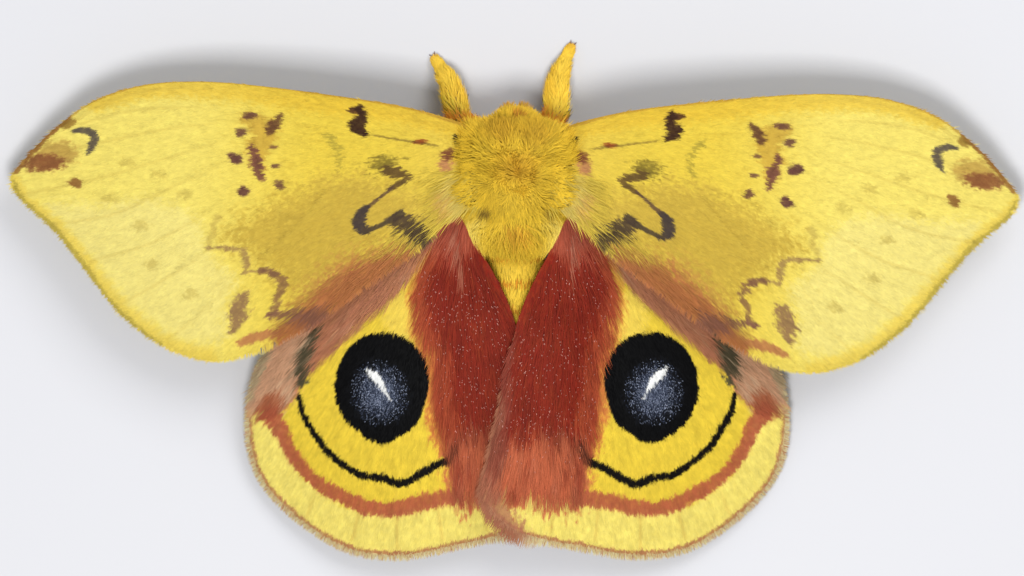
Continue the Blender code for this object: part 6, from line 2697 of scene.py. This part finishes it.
@dataclass
class Studio:
    """A pale paper floor, soft light and the camera straight above.

    Attributes:
        frame: Where the moth stands.
        centre: The middle of the picture, in the moth's millimetres.
        width_mm: How much the picture's width shows at the wings.
        wing_level_mm: How high the wings are there.
        distance_mm: How high the camera hangs.
        sensor_mm: How wide its sensor is.
        roll: How far the camera is turned, so that the moth leans as it should, in degrees.
        floor_size: How wide the paper is, in metres.
        air: The colour of the light from all round.
        air_strength: Its strength.
        aim: What the lights face.
        lights: Each light's name, place, width in millimetres and power in watts.
    """

    frame: BodyFrame
    centre: Point = (-0.04, -6.61)
    width_mm: float = 69.0
    wing_level_mm: float = 5.0
    distance_mm: float = 800.0
    sensor_mm: float = 36.0
    roll: float = math.degrees(math.atan2(20.0, 1009.0))
    floor_size: float = 1.2
    air: str = "#F4F6FA"
    air_strength: float = 0.50
    aim: Place = (0.0, -6.0, 4.0)
    lights: Sequence[Tuple[str, Place, float, float]] = (
        ("key_light", (-12.0, -78.0, 285.0), 70.0, 0.64), ("fill_light", (120.0, 170.0, 260.0), 200.0, 0.50))

    def camera(self) -> None:
        """Set the camera above the moth."""
        data = bpy.data.cameras.new("camera")
        data.sensor_width = self.sensor_mm
        data.lens = self.sensor_mm * (self.distance_mm - self.wing_level_mm) / self.width_mm
        camera = bpy.data.objects.new("camera", data)
        bpy.context.scene.collection.objects.link(camera)
        place = self.frame.metres(np.array([[*self.centre, 0.0]]))[0]
        camera.location = (place[0], place[1], self.distance_mm * MM)
        camera.rotation_euler = (0.0, 0.0, math.radians(self.roll))
        bpy.context.scene.camera = camera

    def floor(self) -> None:
        """Lay the paper."""
        half = self.floor_size / 2 / MM
        corners = np.array([[-half, -half, 0], [half, -half, 0], [half, half, 0], [-half, half, 0.0]])
        floor = Surface(corners, [np.array([[0, 1, 2, 3]])]).build("floor", self.frame, PaperFloor().build())

    def light(self, name: str, place_mm: Place, size_mm: float, power: float) -> None:
        """Add a square soft light that faces the moth.

        Args:
            name: The light's name.
            place_mm: Where it hangs.
            size_mm: How wide it is.
            power: Its power in watts.
        """
        data = bpy.data.lights.new(name, "AREA")
        data.shape = "SQUARE"
        data.size = size_mm * MM
        data.energy = power
        lamp = bpy.data.objects.new(name, data)
        bpy.context.scene.collection.objects.link(lamp)
        place = self.frame.metres(np.array([place_mm]))[0]
        aim = self.frame.metres(np.array([self.aim]))[0]
        lamp.location = place
        lamp.rotation_mode = "QUATERNION"
        lamp.rotation_quaternion = Vector(aim - place).to_track_quat("-Z", "Y")

    def make(self) -> None:
        """Build the studio."""
        world = bpy.data.worlds.new("studio_air")
        world.use_nodes = True
        background = world.node_tree.nodes["Background"]
        background.inputs["Color"].default_value = (*linear(self.air), 1.0)
        background.inputs["Strength"].default_value = self.air_strength
        bpy.context.scene.world = world
        bpy.context.scene.view_settings.view_transform = "Standard"
        self.floor()
        for setting in self.lights:
            self.light(*setting)
        self.camera()


FORELEG_JOINTS = {
    Side.LEFT: ((1.10, 2.35, 4.70), (1.45, 3.20, 2.60), (3.75, 4.55, 3.30), (4.45, 7.00, 1.70),
                (5.10, 8.10, 0.62), (5.55, 8.80, 0.25)),
    Side.RIGHT: ((1.10, 2.35, 4.70), (1.45, 3.20, 2.60), (2.65, 5.10, 3.30), (2.75, 7.30, 1.70),
                 (3.25, 8.90, 0.62), (3.62, 9.75, 0.25)),
}
KNEE_BAND = {
    Side.LEFT: ((2.62, 5.1), (3.6, 4.8), (4.6, 5.45)),
    Side.RIGHT: ((1.77, 5.7), (2.6, 5.15), (3.7, 5.2)),
}
LEG_JOINTS = {
    "middle": ((1.45, 0.20, 4.30), (2.60, 0.10, 2.40), (6.00, -0.30, 4.20), (8.20, -0.90, 1.05),
               (8.80, -1.00, 0.45), (11.20, -1.50, 0.24)),
    "hind": ((1.65, -1.40, 4.40), (3.20, -2.40, 2.35), (5.40, -5.60, 4.10), (6.70, -9.00, 1.05),
             (6.95, -9.60, 0.45), (7.60, -12.00, 0.24)),
}
LEG_RADII = (0.50, 0.46, 0.42, 0.32, 0.24, 0.20)
FORELEG_RADII = (0.52, 0.54, 0.50, 0.40, 0.22, 0.15)
HINDWING_SWEEP = {Side.LEFT: (3.8, -0.66), Side.RIGHT: (0.0, 0.66)}     # the right one lies on the left one
SEEDS = {"forewing": 100, "hindwing": 200, "antenna": 600, "foreleg": 700, "leg": 800}


def main() -> None:
    """Build the moth piece by piece, then the studio round it."""
    logging.basicConfig(level=logging.INFO, format="%(message)s")
    for old in list(bpy.data.objects):
        bpy.data.objects.remove(old)
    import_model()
    frame = BodyFrame.from_eyes(Eye.centre[1])
    hairs = HairScales("hair_scales").build()
    wings = []
    for k, side in enumerate(Side):
        sweep, lift = HINDWING_SWEEP[side]
        scales = WingScales(f"forewing_scales_{side.label}").build()
        forewing = Forewing(side, frame, scales, hairs, SEEDS["forewing"] + k)
        forewing.make()
        scales = WingScales(f"hindwing_scales_{side.label}").build()
        hindwing = Hindwing(side, frame, scales, hairs, SEEDS["hindwing"] + k, sweep=sweep, lift=lift)
        hindwing.make()
        wings = [forewing, hindwing]

    def wing_tops(points: Array) -> Array:
        """The height over which pile at the wings' roots has to pass.

        Args:
            points: Places in the moth's own millimetres.

        Returns:
            A height for each.
        """
        flat = np.stack([np.abs(points[:, 0]), points[:, 1]], 1)
        front, rear = (wing.height(flat) + wing.half_thickness + 0.15 for wing in wings)
        return np.where(points[:, 1] > -1.2, front, np.minimum(front, rear + 0.3))

    Trunk(frame, WingScales("trunk_skin_scales").build(), hairs, wing_tops).make()
    cuticle = Cuticle("leg_cuticle").build()
    golden = Cuticle("foreleg_cuticle", light="#D0A03C", dark="#A87426").build()
    facets = EyeFacets("eye_cornea").build()
    comb = HairScales("antenna_hairs", roughness=0.5).build()
    for k, side in enumerate(Side):
        Eye(side, frame, facets).make()
        Antenna(side, frame, comb, SEEDS["antenna"] + k).make()
        Foreleg("front", side, frame, golden, cuticle, hairs, FORELEG_JOINTS[side], FORELEG_RADII,
                SEEDS["foreleg"] + k, band_y=KNEE_BAND[side]).make()
        for pair, joints in LEG_JOINTS.items():
            Leg(pair, side, frame, cuticle, cuticle, hairs, joints, LEG_RADII, SEEDS["leg"] + k).make()
    Studio(frame).make()


if __name__ == "__main__":
    main()
